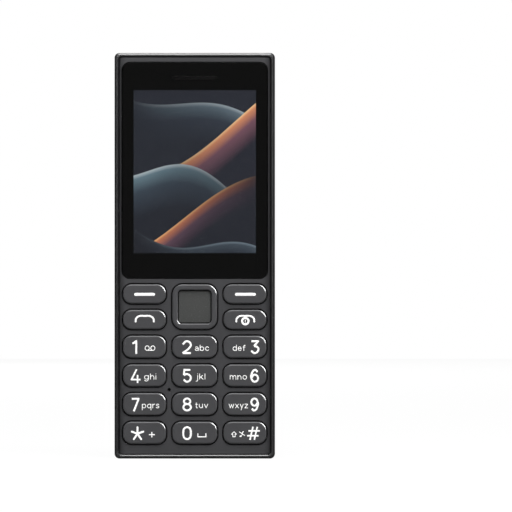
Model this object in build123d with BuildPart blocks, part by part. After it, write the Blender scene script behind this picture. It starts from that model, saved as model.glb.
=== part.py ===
from build123d import *

# Candybar feature phone, standing on its bottom end: X across, Y into the phone, Z up.
# All sizes are millimetres. The origin is the centre of the bottom end.

# Case
cover_wall = 1.3
rim_outer_radius = 0.7
rim_inner_radius = 0.55
back_edge_radius = 7.0
back_crown = 0.6
end_edge_radius = 1.5
cover_rib_width = 0.8
cover_rib_height = 0.25
cover_rib_length = 42.0
cover_rib_spacing = 16.0
clip_count = 4
clip_pitch = 28.0
clip_length = 5.0
clip_width = 0.8
clip_height = 0.08
clip_groove_depth = 0.15
clip_behind_face = 2.6

# Clearances and cuts
seam_gap = 0.12
cover_gap = 0.15
part_gap = 0.1
overrun = 1.0

# Front housing
seam_corner_radius = 1.0
plate_thickness = 1.5
skirt_wall = 0.7
edge_break = 0.15
side_roll_radius = 0.5

# Display window, lens and panel
window_width = 36.58
window_height = 48.77
lens_side_border = 3.49
lens_side_margin = 0.8
lens_top_margin = 1.46
lens_above_panel = 7.07
lens_below_panel = 3.78
lens_corner_radius = 2.4
lens_thickness = 0.9
lens_proud = 0.12
lens_gap = 0.08
lens_edge_radius = 0.25
mask_thickness = 0.06
tape_thickness = 0.15
tape_inset = 0.3
panel_side_border = 1.1
panel_top_border = 1.2
panel_bottom_border = 3.8
panel_thickness = 1.0
panel_gap = 0.3
tray_wall = 1.2
tray_chin = 1.0
tray_floor = 1.0
ribbon_width = 14.0
ribbon_length = 9.0

# Earpiece
earpiece_width = 13.5
earpiece_height = 0.9
earpiece_below_lens_top = 4.53
earpiece_grille_thickness = 0.3
earpiece_grille_recess = 0.35
receiver_width = 12.0
receiver_height = 4.4
receiver_depth = 1.9
receiver_corner_radius = 1.0
receiver_port_share = 0.7

# Keys
nav_size = 13.5
nav_corner_radius = 3.2
nav_band = 1.75
select_corner_radius = 0.9
function_key_gap = 1.8
number_key_height = 6.7
key_below_lens = 1.705
key_row_gap = 1.87
key_row_count = 4
column_gap = 1.8
key_side_margin = 1.1
keypad_bottom_margin = 2.995
key_end_flat = 0.6
key_proud = 0.7
key_edge_radius = 0.55
select_recess = 0.2
select_edge_radius = 0.25
ring_inner_edge_radius = 0.45
key_travel = 0.3
key_gap = 0.25
flange_overhang = 0.4
flange_side_overhang = 0.1
flange_gap = 0.1
flange_thickness = 0.6
ring_flange_gap = 0.35
ring_flange_thickness = 0.5
ring_step_overhang = 0.55
select_flange_thickness = 0.4
select_flange_gap = 0.3
select_flange_relief = 0.1
select_side_gap = 0.1
post_radius = 1.0
press_gap = 0.05

# Keypad mat, actuator pad and domes
mat_gap = 0.35
mat_thickness = 0.4
mat_hole_gap = 0.4
pad_gap = 0.35
pad_thickness = 0.2
pad_nub_radius = 0.9
pad_nub_travel = 0.13
dome_space = 0.55
dome_height = 0.25
dome_radius = 2.1
dome_crown_radius = 1.1
nav_dome_gap = 0.8
nav_dome_crown_share = 0.5
led_dome_gap = 0.65

# Main board and what it carries
board_gap = 0.3
board_thickness = 1.0
component_space = 0.95
microphone_hole_radius = 0.4
microphone_width = 3.0
microphone_height = 2.4
microphone_depth = 0.85
led_width = 1.6
led_height = 0.8
led_depth = 0.4
can_width = 15.0
can_height = 16.0
can_depth = 0.8
can_corner_radius = 1.2
can_centre_x = 9.0
can_below_bay_top = 43.5
sim_width = 14.5
sim_height = 12.5
sim_depth = 1.3
sim_centre_x = 8.4
sim_below_bay_top = 13.0
card_slot_width = 12.5
card_slot_depth = 0.85
card_metal = 0.2
memory_width = 12.6
memory_height = 11.5
memory_slot_width = 11.0
memory_below_bay_top = 28.5

# Screws
screw_boss_radius = 1.2
screw_shoulder_radius = 1.7
screw_pilot_radius = 0.6
screw_pilot_end_wall = 0.5
screw_shank_radius = 0.55
screw_clearance_radius = 0.75
screw_head_radius = 1.35
screw_head_depth = 0.9
screw_bore_radius = 1.5
screw_column_wall = 0.7
screw_seat_depth = 1.6
screw_drive_radius = 0.55
screw_drive_sides = 6
screw_drive_depth = 0.45
board_hole_gap = 0.15
top_boss_inside_lens = 3.48
top_boss_below_lens_top = 2.3
middle_boss_inside_housing = 2.58
middle_boss_tray_gap = 0.42

# Rear chassis
chassis_floor = 0.8
chassis_wall = 1.2
lower_section_height = 31.75
top_pocket_side_step = 0.7
sound_pocket_depth = 5.0
sound_pocket_wall = 2.45
pocket_corner_radius = 0.8
antenna_width = 32.0
antenna_thickness = 0.15
antenna_pocket_depth = 0.75
antenna_corner_radius = 1.5
antenna_screw_gap = 0.4
antenna_bay_gap = 3.05

# Battery
battery_length = 53.5
battery_thickness = 5.0
battery_corner_radius = 1.2
battery_edge_radius = 0.5
bay_corner_radius = 0.6
bay_side_wall = 1.2
battery_side_gap = 0.3
battery_floor_gap = 0.15
battery_back_gap = 0.6
battery_cap_length = 2.6
battery_pad_width = 1.8
battery_pad_height = 3.0
battery_pad_depth = 0.1
battery_pad_pitch = 2.8
battery_pad_count = 3
contact_block_width = 9.4
contact_block_height = 3.0
contact_block_depth = 4.6
contact_centre_x = 6.0
contact_blade_width = 1.0
contact_blade_reach = 0.2
contact_blade_depth = 1.6

# Sockets, sound and light at the two ends
jack_column_gap = 0.9
jack_bore_radius = 1.8
jack_bore_length = 14.0
jack_width = 6.4
jack_depth = 5.2
jack_end_wall = 0.6
jack_nose_radius = 2.3
jack_cover_hole_radius = 3.1
usb_width = 8.94
usb_depth = 3.16
usb_length = 7.3
usb_shell = 0.3
usb_tongue_width = 6.7
usb_tongue_depth = 0.7
usb_tongue_length = 4.5
usb_cover_opening_gap = 0.35
torch_radius = 1.9
torch_flange_radius = 2.4
torch_flange_depth = 0.5
torch_led_size = 2.6
torch_led_height = 1.2
speaker_column_gap = 0.15
speaker_height = 15.0
speaker_depth = 3.4
speaker_corner_radius = 1.5
speaker_cone_share = 0.7
speaker_cone_depth = 0.6
speaker_slot_count = 4
speaker_slot_width = 1.0
speaker_slot_length = 3.2
speaker_mesh_thickness = 0.2
speaker_mesh_margin = 0.5
motor_radius = 4.0
motor_depth = 2.6
motor_side_gap = 2.0
motor_end_gap = 4.0

# Depth of the phone, added up from the key tops to the back
body_depth = (
    key_proud + plate_thickness + flange_gap + flange_thickness + mat_gap + mat_thickness
    + dome_space + board_thickness + component_space + chassis_floor + battery_floor_gap
    + battery_thickness + battery_back_gap + cover_wall
)

# Levels along Y, from the front to the back
key_top_y = -body_depth / 2
face_y = key_top_y + key_proud
plate_back_y = face_y + plate_thickness
flange_front_y = plate_back_y + flange_gap
flange_back_y = flange_front_y + flange_thickness
mat_front_y = flange_back_y + mat_gap
mat_back_y = mat_front_y + mat_thickness
board_front_y = mat_back_y + dome_space
dome_top_y = board_front_y - dome_height
post_end_y = dome_top_y - key_travel - press_gap
board_back_y = board_front_y + board_thickness
floor_front_y = board_back_y + component_space
floor_back_y = floor_front_y + chassis_floor
battery_front_y = floor_back_y + battery_floor_gap
battery_back_y = battery_front_y + battery_thickness
back_y = body_depth / 2
screw_seat_y = floor_front_y + screw_seat_depth
clip_y = face_y + clip_behind_face

lens_front_y = face_y - lens_proud
lens_back_y = lens_front_y + lens_thickness
mask_back_y = lens_back_y + mask_thickness
recess_floor_y = mask_back_y + tape_thickness
panel_front_y = mask_back_y + part_gap
panel_back_y = panel_front_y + panel_thickness
tray_front_y = plate_back_y + part_gap
tray_back_y = panel_back_y + tray_floor

# Outlines seen from the front, added up from the display and the keys
housing_inset = cover_wall + seam_gap
panel_width = window_width + 2 * panel_side_border
panel_height = window_height + panel_top_border + panel_bottom_border
lens_width = window_width + 2 * lens_side_border
lens_height = panel_height + lens_above_panel + lens_below_panel
housing_width = lens_width + 2 * lens_side_margin
body_width = housing_width + 2 * housing_inset
row_pitch = number_key_height + key_row_gap
housing_bottom_z = housing_inset
nav_bottom_z = housing_bottom_z + keypad_bottom_margin + key_row_count * row_pitch
lens_bottom_z = nav_bottom_z + nav_size + key_below_lens
lens_top_z = lens_bottom_z + lens_height
housing_top_z = lens_top_z + lens_top_margin
body_height = housing_top_z + housing_inset

# Housing, board and chassis outlines
housing_inner_width = housing_width - 2 * skirt_wall
board_width = housing_inner_width - 2 * board_gap
board_top_z = housing_top_z - skirt_wall - board_gap
board_bottom_z = housing_bottom_z + skirt_wall + board_gap
board_centre_z = (board_top_z + board_bottom_z) / 2
board_height = board_top_z - board_bottom_z
chassis_inset = cover_wall + cover_gap
chassis_top_z = body_height - chassis_inset
chassis_bottom_z = chassis_inset

# Display places
lens_centre_z = (lens_top_z + lens_bottom_z) / 2
panel_bottom_z = lens_bottom_z + lens_below_panel
panel_top_z = lens_top_z - lens_above_panel
panel_centre_z = (panel_top_z + panel_bottom_z) / 2
window_centre_z = panel_top_z - panel_top_border - window_height / 2
tray_width = panel_width + 2 * tray_wall
tray_top_z = panel_top_z + tray_wall
tray_bottom_z = panel_bottom_z - tray_chin
tray_height = tray_top_z - tray_bottom_z
tray_centre_z = (tray_top_z + tray_bottom_z) / 2
earpiece_z = lens_top_z - earpiece_below_lens_top
receiver_z = tray_top_z + part_gap * 2 + receiver_height / 2

# Key places
side_key_width = (housing_width - nav_size - 2 * column_gap - 2 * key_side_margin) / 2
column_x = nav_size / 2 + column_gap + side_key_width / 2
gap_x = (nav_size + column_gap) / 2
nav_z = nav_bottom_z + nav_size / 2
function_key_height = (nav_size - function_key_gap) / 2
function_offset = (nav_size - function_key_height) / 2
key_corner_radius = (function_key_height - key_end_flat) / 2
first_row_z = nav_bottom_z - key_row_gap - number_key_height / 2
row_z = [first_row_z - row_pitch * row for row in range(key_row_count)]
ring_inner_size = nav_size - 2 * nav_band
select_size = ring_inner_size - 2 * select_side_gap
keys = [
    ("soft_key_left", -column_x, nav_z + function_offset, side_key_width, function_key_height),
    ("soft_key_right", column_x, nav_z + function_offset, side_key_width, function_key_height),
    ("call_key", -column_x, nav_z - function_offset, side_key_width, function_key_height),
    ("end_key", column_x, nav_z - function_offset, side_key_width, function_key_height),
]
number_names = [
    ("key_1", "key_2", "key_3"),
    ("key_4", "key_5", "key_6"),
    ("key_7", "key_8", "key_9"),
    ("key_star", "key_0", "key_hash"),
]
for names, key_z in zip(number_names, row_z):
    for name, key_x, key_width in zip(
        names, (-column_x, 0, column_x), (side_key_width, nav_size, side_key_width)
    ):
        keys.append((name, key_x, key_z, key_width, number_key_height))

# Places in the gaps between keys, and of the six screws
top_boss_x = lens_width / 2 - top_boss_inside_lens
top_boss_z = lens_top_z - top_boss_below_lens_top
middle_boss_x = housing_width / 2 - middle_boss_inside_housing
middle_boss_z = tray_bottom_z - middle_boss_tray_gap - screw_shoulder_radius
lower_boss_z = (row_z[2] + row_z[3]) / 2
microphone_place = (-gap_x, (row_z[1] + row_z[2]) / 2)
boss_places = [
    (-top_boss_x, top_boss_z),
    (top_boss_x, top_boss_z),
    (-middle_boss_x, middle_boss_z),
    (middle_boss_x, middle_boss_z),
    (-gap_x, lower_boss_z),
    (gap_x, lower_boss_z),
]
led_places = [
    (-gap_x, (row_z[0] + row_z[1]) / 2),
    (gap_x, (row_z[0] + row_z[1]) / 2),
    (gap_x, (row_z[1] + row_z[2]) / 2),
    (-gap_x, nav_z),
    (gap_x, nav_z),
]
nav_domes_reach = gap_x - led_width / 2 - led_dome_gap
nav_dome_radius = (nav_domes_reach - nav_dome_gap) / 3
nav_dome_crown_radius = nav_dome_radius * nav_dome_crown_share
pad_nub_offset = nav_domes_reach - nav_dome_radius
nub_places = [
    (-pad_nub_offset, nav_z),
    (pad_nub_offset, nav_z),
    (0, nav_z - pad_nub_offset),
    (0, nav_z + pad_nub_offset),
]

# Battery and chassis places
column_radius = screw_bore_radius + screw_column_wall
bay_width = 2 * (middle_boss_x - screw_bore_radius - bay_side_wall)
battery_width = bay_width - 2 * battery_side_gap
bay_length = battery_length + 2 * battery_side_gap
bay_bottom_z = chassis_bottom_z + lower_section_height
bay_top_z = bay_bottom_z + bay_length
bay_centre_z = (bay_top_z + bay_bottom_z) / 2
battery_top_z = bay_top_z - battery_side_gap
battery_bottom_z = bay_bottom_z + battery_side_gap
top_pocket_depth = jack_depth + part_gap
top_pocket_width = bay_width + 2 * top_pocket_side_step
sound_pocket_width = body_width - 2 * chassis_inset - 2 * sound_pocket_wall
antenna_bottom_z = lower_boss_z + screw_bore_radius + antenna_screw_gap
antenna_height = bay_bottom_z - chassis_wall - antenna_bay_gap - antenna_bottom_z
sim_z = bay_top_z - sim_below_bay_top
memory_z = bay_top_z - memory_below_bay_top
card_back_y = board_back_y + sim_depth

# Socket, speaker and motor places
jack_x = top_boss_x - column_radius - jack_column_gap - jack_width / 2
speaker_inner_x = gap_x + column_radius + speaker_column_gap
speaker_width = sound_pocket_width / 2 - part_gap - speaker_inner_x
speaker_x = speaker_inner_x + speaker_width / 2
speaker_slot_pitch = speaker_width / (speaker_slot_count + 1)
motor_x = top_pocket_width / 2 - motor_side_gap - motor_radius
motor_z = chassis_top_z - chassis_wall - motor_end_gap - motor_radius
jack_y = board_back_y + jack_depth / 2
jack_top_z = chassis_top_z - chassis_wall - part_gap
jack_length = jack_bore_length + jack_end_wall - chassis_wall
usb_y = board_back_y + part_gap + usb_depth / 2
usb_mouth_z = chassis_bottom_z + part_gap
torch_y = board_back_y + part_gap + torch_flange_radius
speaker_y = board_back_y + 2 * part_gap + speaker_depth / 2
speaker_bottom_z = chassis_bottom_z + chassis_wall + speaker_mesh_thickness + part_gap * 2


def facing_front(y):
    """Sketch plane at depth y, with X to the right and Z up. A negative extrusion goes into the phone."""
    return Plane.XZ.offset(-y)


def save(builder, name):
    builder.part.label = name
    export_step(builder.part, f"parts/{name}.step")


def case_profile(inset, front_y):
    """The case's cross-section: flat front, straight sides, big round back corners and a crowned back."""
    half_width = body_width / 2 - inset
    crown_y = back_y - inset
    shoulder_y = crown_y - back_crown
    with BuildSketch() as profile:
        with BuildLine():
            Polyline(
                (-half_width, shoulder_y),
                (-half_width, front_y),
                (half_width, front_y),
                (half_width, shoulder_y),
            )
            ThreePointArc((half_width, shoulder_y), (0, crown_y), (-half_width, shoulder_y))
        make_face()
        fillet(profile.vertices().group_by(Axis.Y)[-1], back_edge_radius - inset)
    return profile.sketch


def facing_up(z):
    """Sketch plane at height z, with X to the right and Y into the phone."""
    return Plane.XY.offset(z)


# Rear cover: a deep tub that wraps the sides and both ends up to the front face
with BuildPart() as cover_cavity:
    with BuildSketch(Plane.XY.offset(cover_wall)):
        add(case_profile(cover_wall, face_y - overrun))
    extrude(amount=body_height - 2 * cover_wall)
    with BuildSketch(facing_front(face_y - overrun)):
        with Locations((0, body_height / 2)):
            RectangleRounded(
                body_width - 2 * cover_wall, body_height - 2 * cover_wall, seam_corner_radius
            )
    extrude(amount=-(body_depth + overrun), mode=Mode.INTERSECT)

with BuildPart() as rear_cover:
    with BuildSketch():
        add(case_profile(0, face_y))
    extrude(amount=body_height)
    # The ends' edges are rounded except at the front, whose rim is a bead all the way round
    for end_face in (rear_cover.faces().sort_by(Axis.Z)[0], rear_cover.faces().sort_by(Axis.Z)[-1]):
        fillet(end_face.edges().sort_by(Axis.Y)[1:], end_edge_radius)
    fillet(rear_cover.faces().sort_by(Axis.Y)[0].edges(), rim_outer_radius)
    add(cover_cavity.part, mode=Mode.SUBTRACT)
    fillet(rear_cover.faces().sort_by(Axis.Y)[0].inner_wires()[0].edges(), rim_inner_radius)
    # Two ribs that stiffen the back over the battery
    rib_back_y = back_y - cover_wall
    with BuildSketch(facing_front(rib_back_y - cover_rib_height)):
        with Locations((-cover_rib_spacing / 2, bay_centre_z), (cover_rib_spacing / 2, bay_centre_z)):
            Rectangle(cover_rib_width, cover_rib_length)
    extrude(amount=-(cover_rib_height + cover_wall / 2))
    # Clip beads along both side walls, near the front
    with BuildSketch(facing_front(clip_y - clip_width / 2)):
        with GridLocations(body_width - 2 * cover_wall, 0, 2, 1):
            with Locations((0, body_height / 2)):
                with GridLocations(0, clip_pitch, 1, clip_count):
                    Rectangle(2 * clip_height, clip_length)
    extrude(amount=-clip_width)
    # Openings in the two ends
    with BuildSketch(facing_up(-overrun)):
        with Locations((0, usb_y)):
            SlotOverall(usb_width + 2 * usb_cover_opening_gap, usb_depth + 2 * usb_cover_opening_gap)
        with Locations((-speaker_x, speaker_y)):
            with GridLocations(speaker_slot_pitch, 0, speaker_slot_count, 1):
                SlotOverall(speaker_slot_length, speaker_slot_width, rotation=90)
    extrude(amount=cover_wall + 2 * overrun, mode=Mode.SUBTRACT)
    with BuildSketch(facing_up(body_height + overrun)):
        with Locations((jack_x, jack_y)):
            Circle(jack_cover_hole_radius)
        with Locations((0, torch_y)):
            Circle(torch_radius + part_gap)
    extrude(amount=-(cover_wall + 2 * overrun), mode=Mode.SUBTRACT)
save(rear_cover, "rear_cover")

# Front housing: a plate with the lens recess, display opening, key openings and screw bosses
with BuildPart() as front_housing:
    # Its two long edges roll off to the sides
    with BuildSketch(facing_up(housing_bottom_z)) as housing_profile:
        with Locations((0, (face_y + board_back_y) / 2)):
            Rectangle(housing_width, board_back_y - face_y)
        fillet(housing_profile.vertices().group_by(Axis.Y)[0], side_roll_radius)
    extrude(amount=housing_top_z - housing_bottom_z)
    with BuildSketch(facing_front(face_y - overrun)):
        with Locations((0, body_height / 2)):
            RectangleRounded(
                housing_width, housing_top_z - housing_bottom_z, seam_corner_radius - seam_gap
            )
    extrude(amount=-(board_back_y - face_y + 2 * overrun), mode=Mode.INTERSECT)
    with BuildSketch(facing_front(plate_back_y)):
        with Locations((0, board_centre_z)):
            Rectangle(housing_inner_width, board_height + 2 * board_gap)
    extrude(amount=-(board_back_y - plate_back_y + overrun), mode=Mode.SUBTRACT)
    with BuildSketch(facing_front(face_y - overrun)):
        with Locations((0, lens_centre_z)):
            RectangleRounded(
                lens_width + 2 * lens_gap, lens_height + 2 * lens_gap, lens_corner_radius + lens_gap
            )
    extrude(amount=-(recess_floor_y - face_y + overrun), mode=Mode.SUBTRACT)
    with BuildSketch(facing_front(face_y - overrun)):
        with Locations((0, panel_centre_z)):
            Rectangle(panel_width + 2 * panel_gap, panel_height + 2 * panel_gap)
        with Locations((0, earpiece_z)):
            SlotOverall(earpiece_width, earpiece_height)
        with Locations(microphone_place):
            Circle(microphone_hole_radius)
        for name, key_x, key_z, key_width, key_height in keys:
            with Locations((key_x, key_z)):
                RectangleRounded(
                    key_width + 2 * key_gap, key_height + 2 * key_gap, key_corner_radius + key_gap
                )
        with Locations((0, nav_z)):
            RectangleRounded(nav_size + 2 * key_gap, nav_size + 2 * key_gap, nav_corner_radius + key_gap)
    extrude(amount=-(plate_thickness + 2 * overrun), mode=Mode.SUBTRACT)
    front_face = front_housing.faces().filter_by(Axis.Y).sort_by(Axis.Y)[0]
    chamfer([edge for wire in front_face.inner_wires() for edge in wire.edges()], edge_break)
    # Screw bosses: a shoulder that the board sits on, and a spigot through the board
    for boss_radius, boss_end_y in (
        (screw_shoulder_radius, board_front_y),
        (screw_boss_radius, board_back_y),
    ):
        with BuildSketch(facing_front(recess_floor_y)):
            with Locations(*boss_places):
                Circle(boss_radius)
        extrude(amount=-(boss_end_y - recess_floor_y))
    with BuildSketch(facing_front(plate_back_y + screw_pilot_end_wall)):
        with Locations(*boss_places):
            Circle(screw_pilot_radius)
    extrude(amount=-(board_back_y - plate_back_y + overrun), mode=Mode.SUBTRACT)
    # Grooves that the rear cover's clips snap into
    with BuildSketch(facing_front(clip_y - clip_width)):
        with GridLocations(housing_width, 0, 2, 1):
            with Locations((0, body_height / 2)):
                with GridLocations(0, clip_pitch, 1, clip_count):
                    Rectangle(2 * clip_groove_depth, clip_length + 2 * part_gap)
    extrude(amount=-2 * clip_width, mode=Mode.SUBTRACT)
save(front_housing, "front_housing")

# Lens, with a slot for the earpiece
with BuildPart() as display_lens:
    with BuildSketch(facing_front(lens_front_y)):
        with Locations((0, lens_centre_z)):
            RectangleRounded(lens_width, lens_height, lens_corner_radius)
    extrude(amount=-lens_thickness)
    fillet(display_lens.faces().sort_by(Axis.Y)[0].edges(), lens_edge_radius)
    with BuildSketch(facing_front(lens_front_y - overrun)):
        with Locations((0, earpiece_z)):
            SlotOverall(earpiece_width, earpiece_height)
    extrude(amount=-(lens_thickness + 2 * overrun), mode=Mode.SUBTRACT)
save(display_lens, "display_lens")

# Black border printed on the back of the lens
with BuildPart() as lens_mask:
    with BuildSketch(facing_front(lens_back_y)):
        with Locations((0, lens_centre_z)):
            RectangleRounded(lens_width, lens_height, lens_corner_radius)
        with Locations((0, window_centre_z)):
            Rectangle(window_width, window_height, mode=Mode.SUBTRACT)
        with Locations((0, earpiece_z)):
            SlotOverall(earpiece_width, earpiece_height, mode=Mode.SUBTRACT)
    extrude(amount=-mask_thickness)
save(lens_mask, "lens_mask")

# Adhesive frame that holds the lens in its recess
with BuildPart() as lens_tape:
    with BuildSketch(facing_front(mask_back_y)):
        with Locations((0, lens_centre_z)):
            RectangleRounded(
                lens_width - 2 * tape_inset, lens_height - 2 * tape_inset, lens_corner_radius - tape_inset
            )
        with Locations((0, panel_centre_z)):
            Rectangle(
                panel_width + 2 * panel_gap, panel_height + 2 * panel_gap, mode=Mode.SUBTRACT
            )
        with Locations((0, earpiece_z)):
            SlotOverall(earpiece_width, earpiece_height, mode=Mode.SUBTRACT)
    extrude(amount=-tape_thickness)
save(lens_tape, "lens_tape")

# Grille pressed into the earpiece slot
with BuildPart() as earpiece_grille:
    with BuildSketch(facing_front(lens_front_y + earpiece_grille_recess)):
        with Locations((0, earpiece_z)):
            SlotOverall(earpiece_width - part_gap, earpiece_height - part_gap)
    extrude(amount=-earpiece_grille_thickness)
save(earpiece_grille, "earpiece_grille")

# Display panel and the tray that holds it and its backlight
with BuildPart() as lcd_panel:
    with BuildSketch(facing_front(panel_front_y)):
        with Locations((0, panel_centre_z)):
            Rectangle(panel_width, panel_height)
    extrude(amount=-panel_thickness)
save(lcd_panel, "lcd_panel")

with BuildPart() as lcd_tray:
    with BuildSketch(facing_front(tray_front_y)):
        with Locations((0, tray_centre_z)):
            Rectangle(tray_width, tray_height)
    extrude(amount=-(tray_back_y - tray_front_y))
    with BuildSketch(facing_front(tray_front_y - overrun)):
        with Locations((0, panel_centre_z)):
            Rectangle(panel_width + part_gap, panel_height + part_gap)
    extrude(amount=-(panel_back_y - tray_front_y + overrun), mode=Mode.SUBTRACT)
save(lcd_tray, "lcd_tray")

with BuildPart() as lcd_ribbon:
    with BuildSketch(facing_front(tray_back_y)):
        with Locations((0, tray_bottom_z + ribbon_length / 2)):
            Rectangle(ribbon_width, ribbon_length)
    extrude(amount=-(board_front_y - tray_back_y))
save(lcd_ribbon, "lcd_ribbon")

# Earpiece speaker behind its slot
with BuildPart() as receiver:
    with BuildSketch(facing_front(plate_back_y + part_gap)):
        with Locations((0, receiver_z)):
            RectangleRounded(receiver_width, receiver_height, receiver_corner_radius)
    extrude(amount=-receiver_depth)
    with BuildSketch(facing_front(plate_back_y)):
        with Locations((0, receiver_z)):
            SlotOverall(
                receiver_width * receiver_port_share, receiver_height * receiver_port_share / 2
            )
    extrude(amount=-(receiver_depth / 2), mode=Mode.SUBTRACT)
save(receiver, "receiver")


# Keycaps: a cap in its opening, a flange behind the plate and a post over its dome
def build_key(name, key_x, key_z, key_width, key_height):
    with BuildPart() as key:
        with BuildSketch(facing_front(key_top_y)):
            with Locations((key_x, key_z)):
                RectangleRounded(key_width, key_height, key_corner_radius)
        extrude(amount=-(flange_front_y - key_top_y))
        fillet(key.faces().sort_by(Axis.Y)[0].edges(), key_edge_radius)
        with BuildSketch(facing_front(flange_front_y)):
            with Locations((key_x, key_z)):
                RectangleRounded(
                    key_width + 2 * flange_side_overhang,
                    key_height + 2 * flange_overhang,
                    key_corner_radius + flange_side_overhang,
                )
        extrude(amount=-flange_thickness)
        with BuildSketch(facing_front(flange_back_y)):
            with Locations((key_x, key_z)):
                Circle(post_radius)
        extrude(amount=-(post_end_y - flange_back_y))
    save(key, name)


for key_values in keys:
    build_key(*key_values)

# Navigation ring: a square rocker around the select key
ring_flange_front_y = plate_back_y + ring_flange_gap
ring_flange_back_y = ring_flange_front_y + ring_flange_thickness
ring_step_size = ring_inner_size + 2 * ring_step_overhang
select_flange_back_y = flange_back_y - select_flange_relief
select_flange_front_y = select_flange_back_y - select_flange_thickness
ring_step_y = select_flange_front_y - select_flange_gap
with BuildPart() as nav_ring:
    with BuildSketch(facing_front(key_top_y)):
        with Locations((0, nav_z)):
            RectangleRounded(nav_size, nav_size, nav_corner_radius)
    extrude(amount=-(ring_flange_front_y - key_top_y))
    fillet(nav_ring.faces().sort_by(Axis.Y)[0].edges(), key_edge_radius)
    with BuildSketch(facing_front(ring_flange_front_y)):
        with Locations((0, nav_z)):
            RectangleRounded(
                nav_size + 2 * flange_overhang,
                nav_size + 2 * flange_overhang,
                nav_corner_radius + flange_overhang,
            )
    extrude(amount=-ring_flange_thickness)
    with BuildSketch(facing_front(key_top_y - overrun)):
        with Locations((0, nav_z)):
            RectangleRounded(
                ring_inner_size, ring_inner_size, select_corner_radius + key_gap
            )
    extrude(amount=-(ring_flange_back_y - key_top_y + 2 * overrun), mode=Mode.SUBTRACT)
    fillet(
        nav_ring.faces().filter_by(Axis.Y).sort_by(Axis.Y)[0].inner_wires()[0].edges(),
        ring_inner_edge_radius,
    )
    with BuildSketch(facing_front(ring_step_y)):
        with Locations((0, nav_z)):
            RectangleRounded(
                ring_step_size, ring_step_size, select_corner_radius + key_gap + ring_step_overhang
            )
    extrude(amount=-(ring_flange_back_y - ring_step_y + overrun), mode=Mode.SUBTRACT)
save(nav_ring, "nav_ring")

# Select key, set lower than the ring
with BuildPart() as select_key:
    with BuildSketch(facing_front(face_y + select_recess)):
        with Locations((0, nav_z)):
            RectangleRounded(select_size, select_size, select_corner_radius)
    extrude(amount=-(select_flange_front_y - face_y - select_recess))
    fillet(select_key.faces().sort_by(Axis.Y)[0].edges(), select_edge_radius)
    with BuildSketch(facing_front(select_flange_front_y)):
        with Locations((0, nav_z)):
            RectangleRounded(
                select_size + 2 * flange_overhang,
                select_size + 2 * flange_overhang,
                select_corner_radius + flange_overhang,
            )
    extrude(amount=-select_flange_thickness)
    with BuildSketch(facing_front(select_flange_back_y)):
        with Locations((0, nav_z)):
            Circle(post_radius)
    extrude(amount=-(post_end_y - select_flange_back_y))
save(select_key, "select_key")

# Actuator pad under the ring, with one nub over each of its four domes
pad_front_y = ring_flange_back_y + pad_gap
pad_back_y = pad_front_y + pad_thickness
nub_end_y = dome_top_y - pad_nub_travel - press_gap
with BuildPart() as nav_pad:
    with BuildSketch(facing_front(pad_front_y)):
        with Locations((0, nav_z)):
            RectangleRounded(nav_size, nav_size, nav_corner_radius)
            Circle(post_radius + mat_hole_gap, mode=Mode.SUBTRACT)
    extrude(amount=-(pad_back_y - pad_front_y))
    with BuildSketch(facing_front(pad_back_y)):
        with Locations(*nub_places):
            Circle(pad_nub_radius)
    extrude(amount=-(nub_end_y - pad_back_y))
save(nav_pad, "nav_pad")

# Keypad mat between the keys and the board
mat_top_z = lens_bottom_z - part_gap
with BuildPart() as keypad_mat:
    with BuildSketch(facing_front(mat_front_y)):
        with Locations((0, (mat_top_z + board_bottom_z) / 2)):
            Rectangle(board_width, mat_top_z - board_bottom_z)
        for name, key_x, key_z, key_width, key_height in keys:
            with Locations((key_x, key_z)):
                Circle(post_radius + mat_hole_gap, mode=Mode.SUBTRACT)
        with Locations((0, nav_z)):
            RectangleRounded(
                nav_size + 2 * mat_hole_gap,
                nav_size + 2 * mat_hole_gap,
                nav_corner_radius + mat_hole_gap,
                mode=Mode.SUBTRACT,
            )
        with Locations(*boss_places):
            Circle(screw_shoulder_radius + board_hole_gap, mode=Mode.SUBTRACT)
        with Locations(microphone_place):
            Rectangle(
                microphone_width + 2 * board_hole_gap,
                microphone_height + 2 * board_hole_gap,
                mode=Mode.SUBTRACT,
            )
    extrude(amount=-mat_thickness)
save(keypad_mat, "keypad_mat")

# Metal domes, one under each key and four under the ring
with BuildPart() as metal_domes:
    with BuildSketch(facing_front(board_front_y)) as dome_bases:
        with Locations(*[(key_x, key_z) for name, key_x, key_z, key_width, key_height in keys]):
            Circle(dome_radius)
        with Locations((0, nav_z), *nub_places):
            Circle(nav_dome_radius)
    with BuildSketch(facing_front(dome_top_y)) as dome_crowns:
        with Locations(*[(key_x, key_z) for name, key_x, key_z, key_width, key_height in keys]):
            Circle(dome_crown_radius)
        with Locations((0, nav_z), *nub_places):
            Circle(nav_dome_crown_radius)
    for base in dome_bases.sketch.faces():
        crown = dome_crowns.sketch.faces().sort_by_distance(base.center())[0]
        loft([base, crown])
save(metal_domes, "metal_domes")

# Main board
with BuildPart() as main_board:
    with BuildSketch(facing_front(board_front_y)):
        with Locations((0, board_centre_z)):
            RectangleRounded(board_width, board_height, seam_corner_radius)
        with Locations(*boss_places):
            Circle(screw_boss_radius + board_hole_gap, mode=Mode.SUBTRACT)
    extrude(amount=-board_thickness)
save(main_board, "main_board")

with BuildPart() as microphone:
    with BuildSketch(facing_front(board_front_y - microphone_depth)):
        with Locations(microphone_place):
            Rectangle(microphone_width, microphone_height)
    extrude(amount=-microphone_depth)
save(microphone, "microphone")

with BuildPart() as keypad_leds:
    with BuildSketch(facing_front(board_front_y - led_depth)):
        with Locations(*led_places):
            Rectangle(led_width, led_height)
    extrude(amount=-led_depth)
save(keypad_leds, "keypad_leds")

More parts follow.
